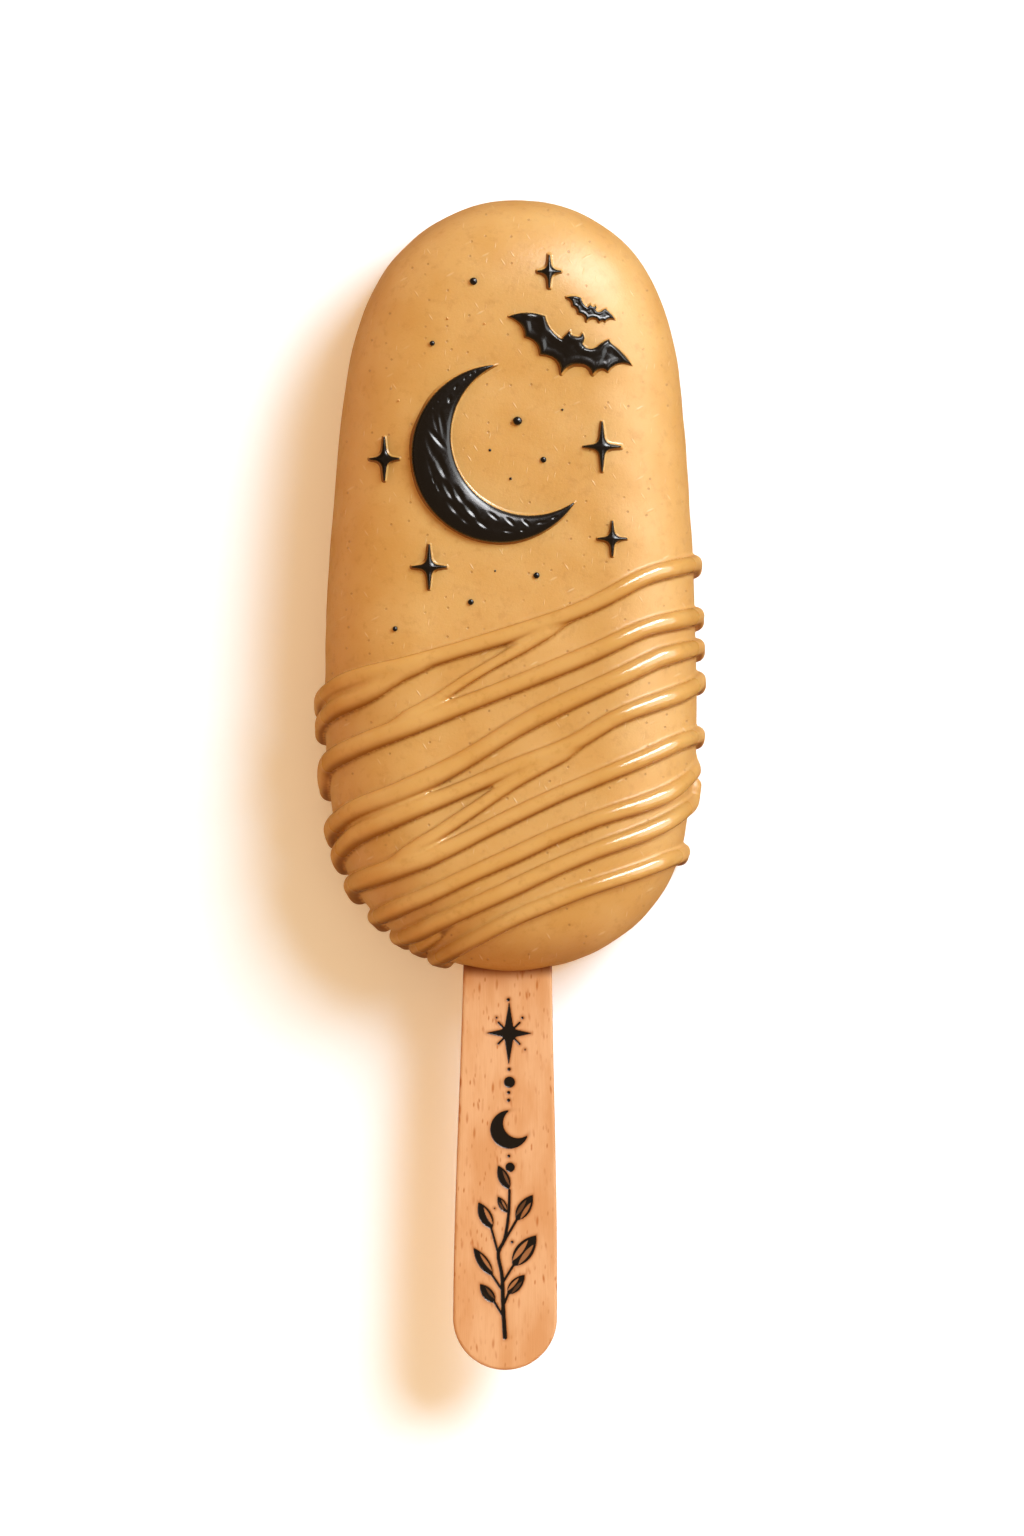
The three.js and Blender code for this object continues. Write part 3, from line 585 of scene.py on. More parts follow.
def face_height(x, y):
    """Height of the finished face, shoulder included."""
    reach = SHOULDER_RADIUS - np.clip(-outline_distance(x, y), 0, SHOULDER_RADIUS)
    return crown_height(x, y) - SHOULDER_RADIUS + np.sqrt(SHOULDER_RADIUS**2 - reach**2)


def cake_distance(points):
    x, y, z = points.T
    front = rounded_meeting(outline_distance(x, y), z - crown_height(x, y), SHOULDER_RADIUS)
    return rounded_meeting(front, -z, BACK_FILLET)


def slow_waves():
    """Direction with wave number, and phase, of each wave in the coating."""
    random = np.random.default_rng(WAVE_SEED)
    ways = random.normal(size=(WAVE_COUNT, 3))
    ways /= np.linalg.norm(ways, axis=1)[:, None]
    lengths = random.uniform(*WAVE_LENGTHS, WAVE_COUNT)
    return ways * (2 * pi / lengths)[:, None], random.uniform(0, 2 * pi, WAVE_COUNT)


WAVES = slow_waves()


def unevenness(points):
    height = np.zeros(len(points))
    for way, phase in zip(*WAVES):
        height += WAVE_HEIGHT * np.sin(points @ way + phase)
    return height


# Drizzle

def cake_facing(points):
    """Direction out of the cake at points near its surface."""
    step = 1e-3
    slope = slopes_at(cake_distance, points, step)
    return slope / np.linalg.norm(slope, axis=1)[:, None]


def onto_cake(points, lift):
    """Moves points straight onto the surface that lies this far above the cake's."""
    rounds = 6
    for _ in range(rounds):
        points = points + cake_facing(points) * (lift - cake_distance(points))[:, None]
    return points


def drop_points(end):
    """Points down the side of the cake below a strand's end."""
    x, y = end
    out = cake_facing(np.array([[x, y, STRAND_DROP_HEIGHTS[0]]]))[0]
    way_x, way_y = (-out[1], out[0]) if x < 0 else (out[1], -out[0])
    slips = STRAND_DROP_SLIPS["left" if x < 0 else "right"]
    return [(x + way_x * slip, y + way_y * slip, z) for slip, z in zip(slips, STRAND_DROP_HEIGHTS)]


def strand_body(length, over):
    """How full a strand is along it: 1, or less near an end that stops on the face."""
    taper = min(STRAND_TAPER, length[-1] / 3)
    body = np.ones(len(length))
    if over == "none":
        body = body * smooth(length / taper)
    if over != "both":
        body = body * smooth((length[-1] - length) / taper)
    return body


def strand_radii(radii, body, phase):
    """A strand's radius along it, with a slow ripple."""
    left, middle, right = radii
    share = np.linspace(0, 1, len(body))
    plain = np.interp(share, STRAND_PARTS, [left, middle, middle, right])
    length = STRAND_STEP * np.arange(len(body))
    ripple = 1 + STRAND_RIPPLE * np.sin(2 * pi * length / STRAND_RIPPLE_LENGTH + phase)
    return plain * ripple * mix(STRAND_TAPERED, 1, body)


def lay_strand(index, over, radii, path):
    """Centres and radii along one strand."""
    x, y = np.array(path, float).T
    route = np.stack([x, y, face_height(x, y)], axis=1).tolist()
    if over in ("both", "start"):
        route = drop_points(path[0])[::-1] + route
    if over == "both":
        route = route + drop_points(path[-1])
    centres = smooth_route(onto_cake(np.array(route), STRAND_LIFT), STRAND_STEP)
    body = strand_body(STRAND_STEP * np.arange(len(centres)), over)
    lift = mix(STRAND_LIFT, STRAND_SIDE_LIFT, ramp(centres[:, 2], *STRAND_SIDE))
    centres = onto_cake(centres, mix(STRAND_SUNK_END, lift, body))
    return centres, strand_radii(radii, body, index)


LAID_STRANDS = [lay_strand(i, *strand) for i, strand in enumerate(STRANDS)]


def near_route(points, centres):
    """Which points lie in the box round a route."""
    low = centres.min(axis=0) - STRAND_REACH
    high = centres.max(axis=0) + STRAND_REACH
    return np.flatnonzero(((points > low) & (points < high)).all(axis=1))


def strand_distance(points, centres, radii):
    """Distance from one strand, worked out for a few of its rods at a time."""
    distance = np.full(len(points), STRAND_REACH)
    for first in range(0, len(centres) - 1, STRAND_GROUP):
        group = slice(first, first + STRAND_GROUP + 1)
        around = near_route(points, centres[group])
        close = points[around]
        nearest = distance[around]
        for i in range(first, min(first + STRAND_GROUP, len(centres) - 1)):
            near = near_route(close, centres[i:i + 2])
            rod = rod_distance(close[near], centres[i], centres[i + 1], radii[i], radii[i + 1])
            nearest[near] = np.minimum(nearest[near], rod)
        distance[around] = nearest
    return distance


def drizzle_distance(points):
    """Distance from the strands, which is only true near them."""
    distance = np.full(len(points), STRAND_REACH)
    for centres, radii in LAID_STRANDS:
        around = near_route(points, centres)
        strand = strand_distance(points[around], centres, radii)
        distance[around] = smooth_union(distance[around], strand, STRAND_JOIN)
    return distance


def coating_distance(points):
    """Distance from the coated cake with its drizzle."""
    distance = cake_distance(points) - unevenness(points)
    near = np.flatnonzero(np.abs(distance) < STRAND_REACH)
    distance[near] = smooth_union(distance[near], drizzle_distance(points[near]), STRAND_BLEND)
    return np.maximum(distance, -points[:, 2])


def coating_marks(points):
    """Where the coating is a strand, where it is darkened by painted shade (folds, strand flanks, edge and
    lower end), the face side, and wet.
    """
    x, y, z = points.T
    drizzle = ramp(cake_distance(points), *STRAND_RISE)
    step = 0.05
    up = np.array([0, step, 0])
    facing = (drizzle_distance(points + up) - drizzle_distance(points - up)) / (2 * step)
    # Painted shade: in the folds beside strands and on their flanks
    crease_shade = fading(drizzle_distance(points), CREASE_SHADE_REACH) * (1 - drizzle)
    crease_shade = crease_shade * mix(CREASE_SHADE_ABOVE, 1, smooth(0.5 - facing))
    below = np.clip(-facing, 0, 1) ** LOWER_FLANK_SHADE
    above = UPPER_FLANK_SHADE[0] * np.clip(facing, 0, 1) ** UPPER_FLANK_SHADE[1]
    flank_shade = drizzle * np.maximum(below, above)
    # Painted shade near the cake's edge and at its lower end
    edge = EDGE_SHADE_DEPTH * ramp(outline_distance(x, y), -EDGE_SHADE_REACH, 0)
    lower_end_shade = LOWER_END_SHADE_DEPTH * ramp(y, *LOWER_END)
    painted_shade = np.maximum.reduce([crease_shade, flank_shade, edge, lower_end_shade])
    face = ramp(z, *FACE_RISE)
    return {"drizzle": drizzle, "painted_shade": painted_shade, "face": face, "wet": drizzle * face}


def coated_cake(material):
    low, high = (np.array(corner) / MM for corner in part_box("coated_cake"))
    room = 1.0
    points, faces = solid_where(coating_distance, low - room, high + room, CAKE_CELL)
    marks = coating_marks(points)
    make_piece("coating", points, faces, material, "coating", "coated_cake", marks)


# Pearls

def balls(places, sunk):
    """Joined small balls on the face, each sunk by a share of its radius."""
    random = np.random.default_rng(BALL_SEED)
    template = bmesh.new()
    bmesh.ops.create_icosphere(template, subdivisions=BALL_DETAIL, radius=1)
    corners = np.array([vertex.co for vertex in template.verts])
    sides = np.array([[vertex.index for vertex in face.verts] for face in template.faces])
    template.free()
    points = []
    faces = []
    for x, y, radius in places:
        wobble = 1 + BALL_WOBBLE * np.sin(corners @ random.normal(0, 2, 3) + random.uniform(0, 6))
        centre = np.array([x, y, face_height(x, y) + radius * (1 - sunk)])
        points.append(centre + corners * radius * wobble[:, None])
        faces.append(sides + len(corners) * len(faces))
    return np.concatenate(points), np.concatenate(faces)


# Decorations

def lay_on_face(points):
    """Turns heights above the face into heights of the frame."""
    laid = points.copy()
    laid[:, 2] += face_height(points[:, 0], points[:, 1])
    return laid


def creep_distance(side, height):
    """Distance from the thin fillet of coating that stands against a decoration's side."""
    climb = np.clip(1 - side / CREEP_REACH, 0, CREEP_MOST)
    above = height - CREEP_HEIGHT * climb**2 + CREEP_FOOT
    return np.maximum.reduce([above, side - CREEP_REACH, -side - CREEP_INSIDE, -height - LAID_SINK])


def decoration(name, side, top, low, high, cell, edge, sugar, coating):
    """A decoration and the coating round it, from its outline's distance and its height."""
    def solid(points):
        plate = rounded_meeting(side(points[:, :2]), points[:, 2] - top(points[:, :2]), edge)
        return np.maximum(plate, -points[:, 2] - LAID_SINK)

    def creep(points):
        return creep_distance(side(points[:, :2]), points[:, 2])

    bottom = -LAID_SINK - 2 * cell
    points, faces = solid_where(solid, (*low, bottom), high, cell)
    make_piece(name, lay_on_face(points), faces, sugar, "black_sugar", name)
    points, faces = solid_where(creep, (*low, bottom), (*high[:2], CREEP_HEIGHT + 3 * cell), cell)
    # Painted shade on the fillet's side that faces away from the light, towards the lower left
    diagonal = 0.7 * cell
    facing = (side(points[:, :2] + diagonal) - side(points[:, :2] - diagonal)) / (2 * cell)
    half = np.full(len(points), 0.5)
    marks = {"drizzle": half, "painted_shade": smooth(0.5 - facing), "wet": half}
    make_piece(f"{name}_creep", lay_on_face(points), faces, coating, "coating", "coated_cake", marks)


def hollow_depth(flat, hollow):
    """Depth of one carved hollow, with a low ridge thrown up round it."""
    x, y, length, width, turn, depth = hollow
    offset = flat - np.array([x, y])
    way = np.array([cos(radians(turn)), sin(radians(turn))])
    reach = np.hypot(offset @ way / length, offset @ np.array([-way[1], way[0]]) / width)
    ridge, place, spread = HOLLOW_RIDGE
    return depth * (np.maximum(1 - reach**2, 0) ** 2 - ridge * bump(reach, place, spread))


def moon_edges(flat):
    return [edge - MOON_GROWTH for edge in crescent_edges(flat, MOON_OUTER, MOON_INNER)]


def moon_side(flat):
    return rounded_meeting(*moon_edges(flat), MOON_TIP)


def moon_top(flat):
    outer, inner = moon_edges(flat)
    narrowest = 0.05
    width = np.maximum(-outer - inner, narrowest)
    share = np.clip(-inner / width, 0, 1)
    between_centres = hypot(MOON_INNER[0] - MOON_OUTER[0], MOON_INNER[1] - MOON_OUTER[1])
    widest = MOON_OUTER[2] - MOON_INNER[2] + between_centres
    height = MOON_THICKNESS * np.sqrt(width / widest)
    for across, (rim, reach) in ((share, MOON_INNER_SLOPE), (1 - share, MOON_OUTER_SLOPE)):
        height = height * mix(rim, 1, rounded_rise(across / reach))
    hollows = sum(hollow_depth(flat, hollow) for hollow in MOON_HOLLOWS)
    return LAID_GAP + height - hollows * smooth(share / MOON_INNER_SLOPE[1])


def moon():
    x, y, radius = MOON_OUTER
    reach = radius + CREEP_REACH + MOON_ROOM
    high = x + reach, y + reach, LAID_GAP + MOON_TALLEST * MOON_THICKNESS
    return moon_side, moon_top, (x - reach, y - reach), high, MOON_CELL, MOON_EDGE


def bat_corners():
    corners = [np.array(BAT_START, float)]
    for curve in BAT_CURVES:
        start = corners[-1]
        bend = np.array(curve[:2])
        end = np.array(curve[2:])
        for i in range(1, BAT_CURVE_STEPS + 1):
            share = i / BAT_CURVE_STEPS
            corners.append(mix(mix(start, bend, share), mix(bend, end, share), share))
    return np.array(corners[:-1])


BAT_CORNERS = bat_corners()


def bat(x, y, scale, turn, thickness):
    """A bat whose wings are thin hollowed skins between raised bones."""
    turn = radians(turn)
    turned = np.array([[cos(turn), -sin(turn)], [sin(turn), cos(turn)]])

    def level(flat):
        return (flat - np.array([x, y])) @ turned / scale

    def side(flat):
        return polygon_distance(level(flat), BAT_CORNERS) * scale

    def top(flat):
        edge = polygon_distance(level(flat), BAT_CORNERS)
        bones = np.zeros(len(flat))
        for *ends, width, height in BAT_RIBS:
            rod = rod_distance(level(flat), ends[:2], ends[2:], 0, 0)
            bones = np.maximum(bones, height * scale**BAT_RIB_SCALING * bump(rod, 0, width))
        puff = mix(BAT_RIM, 1, 1 - np.exp(np.minimum(edge, 0) / BAT_PUFF))
        hollow = BAT_HOLLOW * ramp(-edge, *BAT_HOLLOW_SPAN)
        return LAID_GAP + thickness * (puff - hollow + bones * smooth(-edge / BAT_RIB_START))

    reach = BAT_HALF_SPAN * scale + CREEP_REACH
    tall = BAT_HALF_HEIGHT * scale + CREEP_REACH
    slant = reach * sin(-turn)
    low = x - reach, y - tall - slant / 2
    high = x + reach, y + tall + slant / 4, LAID_GAP + BAT_TALLEST * thickness
    fine = mix(BAT_FINENESS, 1, scale)
    return side, top, low, high, BAT_CELL * fine, BAT_EDGE * fine


def star(x, y, across, along):
    """A star of two crossing rays, rounded up to their middle lines."""
    core = STAR_CORE[0] * along + STAR_CORE[1]
    rays = (x, y), across - STAR_TIP, along - STAR_TIP, core, STAR_TIP, STAR_BLEND

    def side(flat):
        return crossed_rays(flat, *rays)

    def top(flat):
        short = 1 - np.clip(-side(flat) / STAR_ROUNDING, 0, 1)
        return LAID_GAP + STAR_EDGE_HEIGHT + STAR_RISE * np.sqrt(1 - short**2)

    room = CREEP_REACH + STAR_ROOM
    low = x - across - room, y - along - room
    high = x + across + room, y + along + room, STAR_TALLEST
    return side, top, low, high, STAR_CELL, STAR_EDGE


# Stick

STICK_STRAIGHT = (STICK_LENGTH - STICK_END_WIDTH) / 2


def stick_half_width(y):
    widening = np.sin(pi / 2 * np.clip(np.abs(y) / STICK_STRAIGHT, 0, 1)) ** 2
    half = mix(STICK_WAIST / 2, STICK_END_WIDTH / 2, widening)
    past = np.maximum(np.abs(y) - STICK_STRAIGHT, 0)
    return np.sqrt(np.maximum(half**2 - past**2, 0))


def stick_rim_height(x, y):
    """Height of the stick's face above its middle, before the design is burnt in."""
    past = np.maximum(np.abs(y) - STICK_STRAIGHT, 0)
    inset = np.where(past > 0, STICK_END_WIDTH / 2 - np.hypot(x, past), stick_half_width(y) - np.abs(x))
    short = STICK_EDGE - np.clip(inset, 0, STICK_EDGE)
    return STICK_THICKNESS / 2 - STICK_EDGE + np.sqrt(STICK_EDGE**2 - short**2)


def leaf_frame(points, leaf):
    """Places along a leaf from its middle, and across it, with its length."""
    base = np.array(leaf[:2])
    way = np.array(leaf[2:4]) - base
    length = hypot(*way)
    way /= length
    offset = points - base
    along = offset @ way - length / 2
    aside = offset @ np.array([-way[1], way[0]])
    return along, aside, length


def lens_distance(along, aside, length, width):
    """Distance from a shape between two equal arcs that cross at its ends."""
    radius = (length**2 + width**2) / (4 * width)
    return np.hypot(along, np.abs(aside) + radius - width / 2) - radius


def leaf_distance(points, leaf):
    along, aside, length = leaf_frame(points, leaf)
    width = leaf[4] * (1 - LEAF_TILT * np.clip(along / length * 2, -1, 1))
    return lens_distance(along, aside, length, width)


def leaf_wood(points, leaf):
    """How much bare wood shows in the slits beside a leaf's vein."""
    along, aside, length = leaf_frame(points, leaf)
    along = along + SLIT_SHIFT * length
    width = leaf[4]
    shown = np.zeros(len(points))
    for side, share in ((1, leaf[5]), (-1, leaf[6])):
        place = aside - side * SLIT_ASIDE * width
        slit = lens_distance(along, place, SLIT_LENGTH * length, SLIT_WIDTH * width)
        shown = np.maximum(shown, share * smooth(0.5 - slit / SLIT_SOFTNESS))
    return shown


def burnt_star_distance(points):
    reach, radius = BURN_STAR_SLANTED
    folded = np.abs(points - np.array(BURN_STAR[0]))
    slanted = rod_distance(folded, (0, 0), (reach / 2**0.5, reach / 2**0.5), radius, radius)
    return np.minimum(crossed_rays(points, *BURN_STAR), slanted)


def design_distance(points):
    """Distance from all that is burnt, at places across from the axis and up from the outer end."""
    crescent = crescent_edges(points, BURN_CRESCENT_OUTER, BURN_CRESCENT_INNER)
    parts = [burnt_star_distance(points), rounded_meeting(*crescent, BURN_CRESCENT_TIP)]
    parts += [circle_distance(points, dot) for dot in BURN_DOTS]
    stem = smooth_route(BURN_STEM, BURN_STEM_STEP)
    radii = np.linspace(*BURN_STEM_RADII, len(stem))
    parts += [rod_distance(points, *rod) for rod in zip(stem, stem[1:], radii, radii[1:])]
    thin = BURN_STALK_RADIUS, BURN_STALK_RADIUS
    parts += [rod_distance(points, stalk[:2], stalk[2:], *thin) for stalk in BURN_STALKS]
    parts += [leaf_distance(points, leaf) for leaf in BURN_LEAVES]
    return np.minimum.reduce(parts)


def stick_rows():
    """Places of the mesh rows along the stick, close together over the design."""
    first, last = (row - STICK_LENGTH / 2 for row in DESIGN_ROWS)
    outer_end = -STICK_STRAIGHT - STICK_END_WIDTH / 2 * np.cos(np.linspace(0, pi / 2, END_ROWS))
    return np.concatenate([
        outer_end[outer_end < first - DESIGN_CELL / 2],
        np.arange(first, last, DESIGN_CELL),
        np.arange(last, STICK_STRAIGHT, PLAIN_ROW_STEP),
        -outer_end[::-1],
    ])


def stick_columns():
    """Places of the mesh columns across the stick's face, as shares of its half width."""
    middle = np.arange(-DESIGN_HALF_WIDTH, DESIGN_HALF_WIDTH + DESIGN_CELL / 2, DESIGN_CELL)
    widest = STICK_END_WIDTH / 2
    rim = 1 - np.array(RIM_INSETS) / widest
    return np.concatenate([-rim[::-1], middle / widest, rim])


def stick_place(points):
    """Moves points of the stick's own frame to where it is held in the cake."""
    turn = radians(STICK_TURN)
    x, y, z = points.T
    up = y + STICK_LENGTH / 2
    end_x = STICK_AXIS_X + (STICK_END_Y + CAKE_TIP_Y) * tan(-turn)
    placed_x = end_x + x * cos(turn) - up * sin(turn)
    placed_y = STICK_END_Y + x * sin(turn) + up * cos(turn)
    return np.stack([placed_x, placed_y, STICK_MIDDLE_Z + z], axis=1)


def stick_marks(points, design, distance, burnt, inset):
    """Where the stick's wood is charred and scorched, where painted shadow darkens it next to the cake, and
    where its edge is browner.
    """
    wood = np.max([leaf_wood(design, leaf) for leaf in BURN_LEAVES], axis=0)
    # Painted shadow on the wood next to the cake
    painted_shadow_and_rim = fading(cake_distance(points), PAINTED_SHADOW_REACH)
    return {
        "burn": burnt * (1 - SLIT_BARE * wood),
        "scorch": fading(distance, SCORCH_REACH),
        "painted_shadow_and_rim": np.maximum(painted_shadow_and_rim, BROWNER_RIM * np.exp(-inset / BROWNER_RIM_REACH)),
    }


def stick(material):
    rows = stick_rows()
    columns = stick_columns()
    around = np.concatenate([columns, np.linspace(1, -1, BACK_COLUMNS)])
    y = np.repeat(rows, len(around))
    x = np.tile(around, len(rows)) * stick_half_width(y)
    front = np.tile(np.arange(len(around)) < len(columns), len(rows))
    design = np.stack([x, y + STICK_LENGTH / 2], axis=1)
    far = 10.0
    distance = np.where(front, design_distance(design), far)
    burnt = smooth(0.5 - distance / (2 * BURN_SOFTNESS))
    height = stick_rim_height(x, y)
    z = np.where(front, height - BURN_DEPTH * burnt, -height)
    index = np.arange(len(y)).reshape(len(rows), len(around))
    right = np.roll(index, -1, axis=1)
    faces = np.stack([index[:-1], right[:-1], right[1:], index[1:]], axis=-1).reshape(-1, 4)
    points = stick_place(np.stack([x, y, z], axis=1))
    inset = np.minimum(stick_half_width(y) - np.abs(x), y + STICK_LENGTH / 2)
    marks = stick_marks(points, design, distance, burnt, inset)
    make_piece("birch_stick", points, faces, material, "birch", "stick", marks)


# Materials

class Nodes:
    """Short ways to add nodes to a tree. Sizes are in millimetres."""

    def __init__(self, tree, coordinates):
        self.tree = tree
        self.place = self.node("ShaderNodeTexCoord", {}, coordinates)

    def node(self, kind, inputs, output=0, **properties):
        made = self.tree.nodes.new(kind)
        for key, value in properties.items():
            setattr(made, key, value)
        for key, value in inputs.items():
            self.feed(made.inputs[key], value)
        return made.outputs[output]

    def feed(self, socket, value):
        if isinstance(value, bpy.types.NodeSocket):
            self.tree.links.new(value, socket)
        else:
            socket.default_value = value

    def stretched(self, across, along, turn=0.0):
        """The place turned about Z, then multiplied across and along."""
        inputs = {"Vector": self.place, "Angle": turn}
        turned = self.node("ShaderNodeVectorRotate", inputs, rotation_type="Z_AXIS")
        return self.node("ShaderNodeVectorMath", {0: turned, 1: (across, along, 1)}, operation="MULTIPLY")

    def noise(self, size, detail, roughness=0.5, place=None):
        inputs = {"Scale": 1 / (size * MM), "Detail": detail, "Roughness": roughness}
        return self.node("ShaderNodeTexNoise", {"Vector": place or self.place, **inputs})

    def spots(self, layers, size, chance):
        """Where scattered spots are on the plane of the face. A layer is their spacing, turn in degrees,
        and stretch across and along. Their size is in spacings."""
        share = 0.0
        for spacing, turn, across, along in layers:
            place = self.stretched(1 / across, 1 / along, radians(turn))
            inputs = {"Vector": place, "Scale": 1 / (spacing * MM)}
            distance = self.node("ShaderNodeTexVoronoi", inputs, voronoi_dimensions="2D")
            number = self.node("ShaderNodeSeparateColor", {0: distance.node.outputs["Color"]})
            spot = self.times(self.between(distance, *size, 1, 0), self.between(number, *chance))
            share = self.math("MAXIMUM", spot, share)
        return share

    def mark(self, name):
        return self.node("ShaderNodeAttribute", {}, "Fac", attribute_name=name)

    def math(self, operation, first, second):
        return self.node("ShaderNodeMath", {0: first, 1: second}, operation=operation)

    def times(self, first, second):
        return self.math("MULTIPLY", first, second)

    def plus(self, first, second):
        return self.math("ADD", first, second)

    def between(self, value, low, high, to_low=0.0, to_high=1.0, interpolation="SMOOTHSTEP"):
        """Runs from to_low to to_high as the value goes from low to high."""
        inputs = {0: value, 1: low, 2: high, 3: to_low, 4: to_high}
        return self.node("ShaderNodeMapRange", inputs, interpolation_type=interpolation)

    def layered(self, colour, *layers):
        """A colour with others laid over it, each by its share. The sockets for colour are 6, 7 and 2."""
        for share, over in layers:
            colour = self.node("ShaderNodeMix", {0: share, 6: colour, 7: over}, 2, data_type="RGBA")
        return colour

    def total(self, first, *others):
        """The sum of some products."""
        total = self.times(*first)
        for other in others:
            total = self.plus(total, self.times(*other))
        return total

    def relief(self, height, depth):
        """A bump of this depth."""
        return self.node("ShaderNodeBump", {"Height": height, "Distance": depth * MM, "Strength": 1.0})


class Finish(Nodes):
    """A Principled material and the nodes that feed it."""

    def __init__(self, name, **settings):
        self.material = bpy.data.materials.new(name)
        self.material.use_nodes = True
        super().__init__(self.material.node_tree, "Object")
        self.set(**settings)

    def set(self, **values):
        for key, value in values.items():
            self.feed(self.tree.nodes["Principled BSDF"].inputs[key.replace("_", " ")], value)
        return self.material


CARAMEL = (0.61, 0.285, 0.066, 1.0)
CARAMEL_LIGHT = (0.65, 0.325, 0.09, 1.0)
SCRATCH_GLINT_PALE = (0.84, 0.55, 0.27, 1.0)
# The deep caramel is both a random deeper tone and the colour of painted shade; the crease brown is painted
# shade alone
CARAMEL_DEEP_AND_SHADE = (0.36, 0.126, 0.014, 1.0)
CREASE_SHADE_BROWN = (0.15, 0.042, 0.005, 1.0)
PINHOLE_BROWN = (0.27, 0.085, 0.012, 1.0)
# A few tiny pinholes, and short fine raised scratches in three directions, coloured pale as a painted
# highlight along them: layers, size and chance of the spots
PINHOLES = [(2.3, 0, 1, 1)], (0.045, 0.075), (0.45, 0.8)
SCRATCHES_AND_GLINTS = [(2.1, 8, 1 / 2.6, 2.6), (2.9, -33, 1 / 2.2, 2.2), (3.7, 62, 1 / 2, 2)], (0.02, 0.09), (0.55, 1)


def coating_material():
    finish = Finish(
        "caramel_coating",
        IOR=1.5,
        Specular_IOR_Level=0.2,
        Subsurface_Weight=0.1,
        Subsurface_Radius=(1.0, 0.42, 0.16),
        Subsurface_Scale=0.6 * MM,
        Coat_Roughness=0.13,
        Coat_IOR=1.35,
    )
    drizzle = finish.mark("drizzle")
    painted_shade = finish.mark("painted_shade")
    wet = finish.mark("wet")
    plain = finish.times(finish.math("SUBTRACT", 1.0, drizzle), finish.mark("face"))
    cloudy = finish.noise(7, 3)
    mottled = finish.noise(1.3, 4, 0.65)
    grain = finish.noise(0.3, 3, 0.65)
    wrinkles = finish.noise(0.55, 3, 0.6, finish.stretched(1.6, 0.5, 0.5))
    pinholes = finish.times(finish.spots(*PINHOLES), plain)
    scratches_and_glints = finish.times(finish.spots(*SCRATCHES_AND_GLINTS), plain)
    colour = finish.layered(
        CARAMEL,
        (finish.between(cloudy, 0.3, 0.7), CARAMEL_LIGHT),
        (finish.between(mottled, 0.5, 0.75, 0, 0.25), CARAMEL_DEEP_AND_SHADE),
        # Painted shade in folds, on strand flanks, near the edge and at the lower end
        (finish.between(painted_shade, 0.1, 0.9, 0, 0.88), CARAMEL_DEEP_AND_SHADE),
        (finish.between(painted_shade, 0.55, 1, 0, 0.55), CREASE_SHADE_BROWN),
        (finish.times(pinholes, 0.4), PINHOLE_BROWN),
        # Scratches coloured pale, as a painted highlight along them
        (finish.times(scratches_and_glints, 0.34), SCRATCH_GLINT_PALE),
    )
    height = finish.total(
        (grain, finish.between(drizzle, 0, 1, 0.26, 0.02)),
        (wrinkles, finish.between(drizzle, 0, 1, 0.34, 0.02)),
        (pinholes, -0.5),
        (scratches_and_glints, 0.35),
    )
    shine = finish.between(wet, 0, 1, 0.46, 0.2)
    return finish.set(
        Base_Color=colour,
        Roughness=finish.plus(shine, finish.between(mottled, 0.3, 0.8, -0.02, 0.04)),
        Coat_Weight=finish.between(wet, 0, 1, 0, 0.36),
        Normal=finish.relief(height, 0.09),
    )


SUGAR_BLACK = (0.0025, 0.0015, 0.001, 1.0)
SUGAR_BROWN = (0.005, 0.0028, 0.002, 1.0)


def sugar_material():
    finish = Finish(
        "black_sugar_paste",
        IOR=1.5,
        Specular_IOR_Level=0.14,
        Coat_Weight=0.3,
        Coat_Roughness=0.1,
        Coat_IOR=1.25,
    )
    tone = finish.noise(1.2, 3)
    grain = finish.noise(0.2, 3, 0.6)
    colour = finish.layered(SUGAR_BLACK, (tone, SUGAR_BROWN))
    shine = finish.between(finish.noise(0.6, 2), 0.3, 0.7, 0.22, 0.3)
    return finish.set(Base_Color=colour, Roughness=shine, Normal=finish.relief(grain, 0.004))


BIRCH = (0.67, 0.28, 0.097, 1.0)
BIRCH_LIGHT = (0.77, 0.375, 0.165, 1.0)
BIRCH_FLECK = (0.48, 0.13, 0.022, 1.0)
SCORCH = (0.4, 0.11, 0.018, 1.0)
# One brown for the painted shadow next to the cake and for the browner rim
SHADOW_AND_RIM_BROWN = (0.2, 0.05, 0.008, 1.0)
CHAR = (0.003, 0.0014, 0.001, 1.0)
# Short dark flecks: layers, size and chance
WOOD_FLECKS = [(0.9, 3, 0.65, 1.9), (1.3, -6, 0.6, 2.4), (1.9, 2, 0.5, 2)], (0.05, 0.24), (0.55, 0.85)


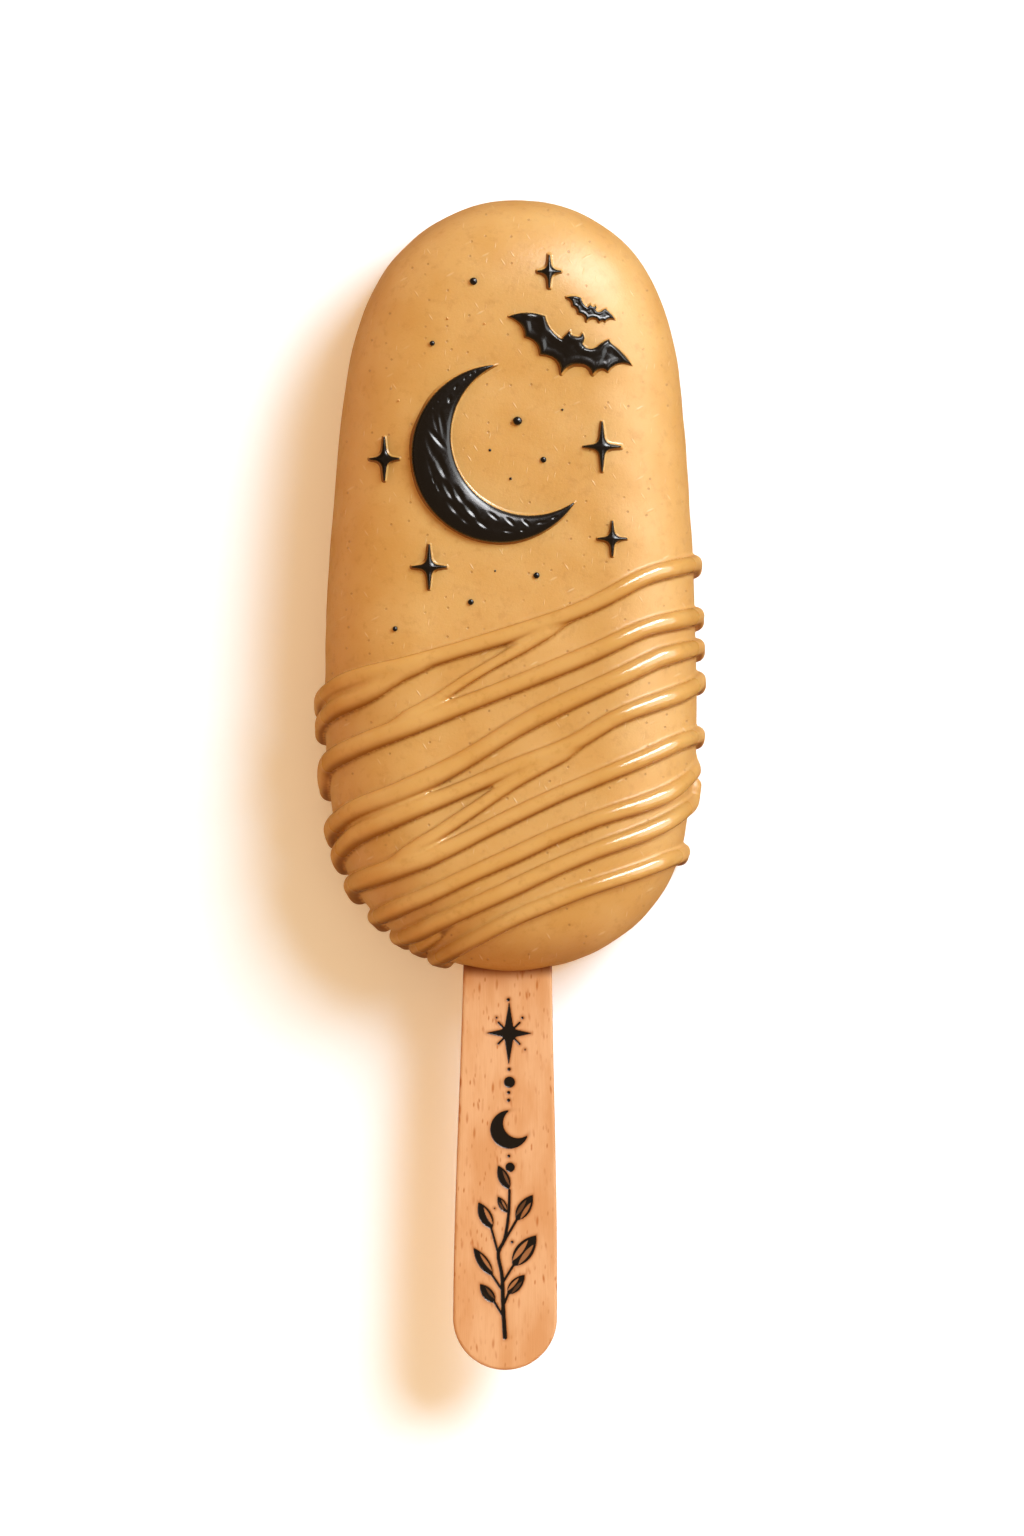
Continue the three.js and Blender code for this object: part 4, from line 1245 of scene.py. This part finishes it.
def birch_material():
    finish = Finish("birch_wood", IOR=1.5, Specular_IOR_Level=0.16, Coat_Roughness=0.12, Coat_IOR=1.3)
    burn = finish.mark("burn")
    bands = finish.noise(3.6, 3, 0.5, finish.stretched(1.3, 0.42))
    fibres = finish.noise(0.5, 3, 0.6, finish.stretched(2.4, 0.12))
    loose_groups = finish.between(finish.noise(4, 2), 0.38, 0.6, 0.2, 1)
    flecks = finish.times(finish.spots(*WOOD_FLECKS), loose_groups)
    blisters = finish.times(finish.noise(0.45, 2, 0.6), burn)
    colour = finish.layered(
        BIRCH,
        (finish.between(bands, 0.3, 0.7), BIRCH_LIGHT),
        (finish.between(fibres, 0.4, 0.75, 0, 0.3), BIRCH),
        (finish.times(flecks, 0.85), BIRCH_FLECK),
        # Painted shadow next to the cake, and the browner rim
        (finish.between(finish.mark("painted_shadow_and_rim"), 0.08, 1), SHADOW_AND_RIM_BROWN),
        (finish.between(finish.mark("scorch"), 0.12, 1, 0, 0.75), SCORCH),
        (finish.between(burn, 0.1, 0.85), CHAR),
    )
    return finish.set(
        Base_Color=colour,
        Roughness=finish.between(burn, 0, 1, 0.55, 0.22),
        Coat_Weight=finish.between(burn, 0.3, 1, 0, 0.36),
        Normal=finish.relief(finish.total((fibres, 0.5), (flecks, -0.12), (blisters, 1.2)), 0.05),
    )


# Floor, light and camera

FLOOR_HALF_SIZE = 12000.0
FLOOR_DROP = 0.05
FLOOR_COLOUR = (0.96, 0.955, 0.95, 1.0)
FLOOR_GLOW = (0.16, 0.12, 0.067, 1.0)
WORLD_COLOUR = (1.0, 0.68, 0.4, 1.0)
WORLD_STRENGTH = 0.76
# What gloss sees below the horizon, and the heights between which the two meet
WORLD_BELOW = (0.2, 0.115, 0.05, 1.0)
HORIZON = (-0.1, 0.02)
# Azimuth from +X towards +Y, elevation, distance, width, height, radiance, colour, and whether for gloss
LIGHTS = [
    ("key", 38, 48, 1500, 700, 700, 15.9, (0.48, 0.76, 1.0), False),
    ("key_gloss", 59, 41, 1500, 650, 650, 30.0, (0.98, 0.97, 1.0), True),
    ("panel", 48, 20, 1000, 380, 480, 38.0, (0.93, 0.98, 1.0), True),
    ("side_panel", 18, 22, 1000, 1000, 800, 6.5, (0.93, 0.98, 1.0), True),
]
WATTS_PER_RADIANCE = 4.0


def add_floor():
    """A plain floor, which gloss doesn't mirror."""
    mesh = bpy.data.meshes.new("floor")
    half = FLOOR_HALF_SIZE * MM
    corners = [(x * half, y * half, -FLOOR_DROP * MM) for x, y in ((-1, -1), (1, -1), (1, 1), (-1, 1))]
    mesh.from_pydata(corners, [], [(0, 1, 2, 3)])
    finish = Finish("pale_floor", Roughness=0.9, Base_Color=FLOOR_COLOUR)
    mesh.materials.append(finish.set(Emission_Color=FLOOR_GLOW, Emission_Strength=1.0))
    floor = add_object("floor", mesh)
    floor.visible_glossy = False


def add_panel(name, azimuth, elevation, distance, width, height, radiance, colour, gloss):
    """A soft light that shows in gloss alone, or lights everything but isn't mirrored in gloss."""
    light = bpy.data.lights.new(name, "AREA")
    light.shape = "RECTANGLE"
    light.size = width * MM
    light.size_y = height * MM
    light.energy = radiance * WATTS_PER_RADIANCE * light.size * light.size_y
    light.color = colour
    lamp = add_object(name, light)
    lamp.visible_diffuse = not gloss
    lamp.visible_glossy = gloss
    flat = cos(radians(elevation))
    way = Vector((cos(radians(azimuth)) * flat, sin(radians(azimuth)) * flat, sin(radians(elevation))))
    lamp.location = way * distance * MM
    lamp.rotation_euler = (-way).to_track_quat("-Z", "Y").to_euler()


def add_world():
    """Warm light from all round, dim below the horizon."""
    world = bpy.data.worlds.new("studio")
    world.use_nodes = True
    nodes = Nodes(world.node_tree, "Generated")
    height = nodes.node("ShaderNodeSeparateXYZ", {0: nodes.place}, "Z")
    above = nodes.between(height, *HORIZON, interpolation="LINEAR")
    background = world.node_tree.nodes["Background"]
    nodes.feed(background.inputs["Color"], nodes.layered(WORLD_BELOW, (above, WORLD_COLOUR)))
    nodes.feed(background.inputs["Strength"], WORLD_STRENGTH)
    bpy.context.scene.world = world


def add_camera():
    camera = bpy.data.cameras.new("camera")
    camera.sensor_width = SENSOR
    camera.lens = SENSOR * CAMERA_DISTANCE / (PICTURE_HEIGHT * MM_PER_PIXEL)
    holder = add_object("camera", camera)
    x = (PICTURE_WIDTH / 2 - ORIGIN_PIXEL[0]) * MM_PER_PIXEL
    y = (ORIGIN_PIXEL[1] - PICTURE_HEIGHT / 2) * MM_PER_PIXEL
    holder.location = (x * MM, y * MM, (STICK_MIDDLE_Z + CAMERA_DISTANCE) * MM)
    bpy.context.scene.camera = holder


def build_cakesicle():
    coating = coating_material()
    sugar = sugar_material()
    coated_cake(coating)
    stick(birch_material())
    shapes = {"moon": moon()}
    shapes.update({name: bat(*place) for name, place in BATS.items()})
    shapes.update({name: star(*place) for name, place in STARS.items()})
    for name, shape in shapes.items():
        decoration(name, *shape, sugar, coating)
    make_piece("sugar_pearls", *balls(PEARLS, PEARL_SUNK), sugar, "black_sugar", "coated_cake")
    make_piece("coating_beads", *balls(COATING_BEADS, BEAD_SUNK), coating, "coating", "coated_cake")


build_cakesicle()
add_floor()
add_world()
for settings in LIGHTS:
    add_panel(*settings)
add_camera()
bpy.context.scene.view_settings.view_transform = "Standard"
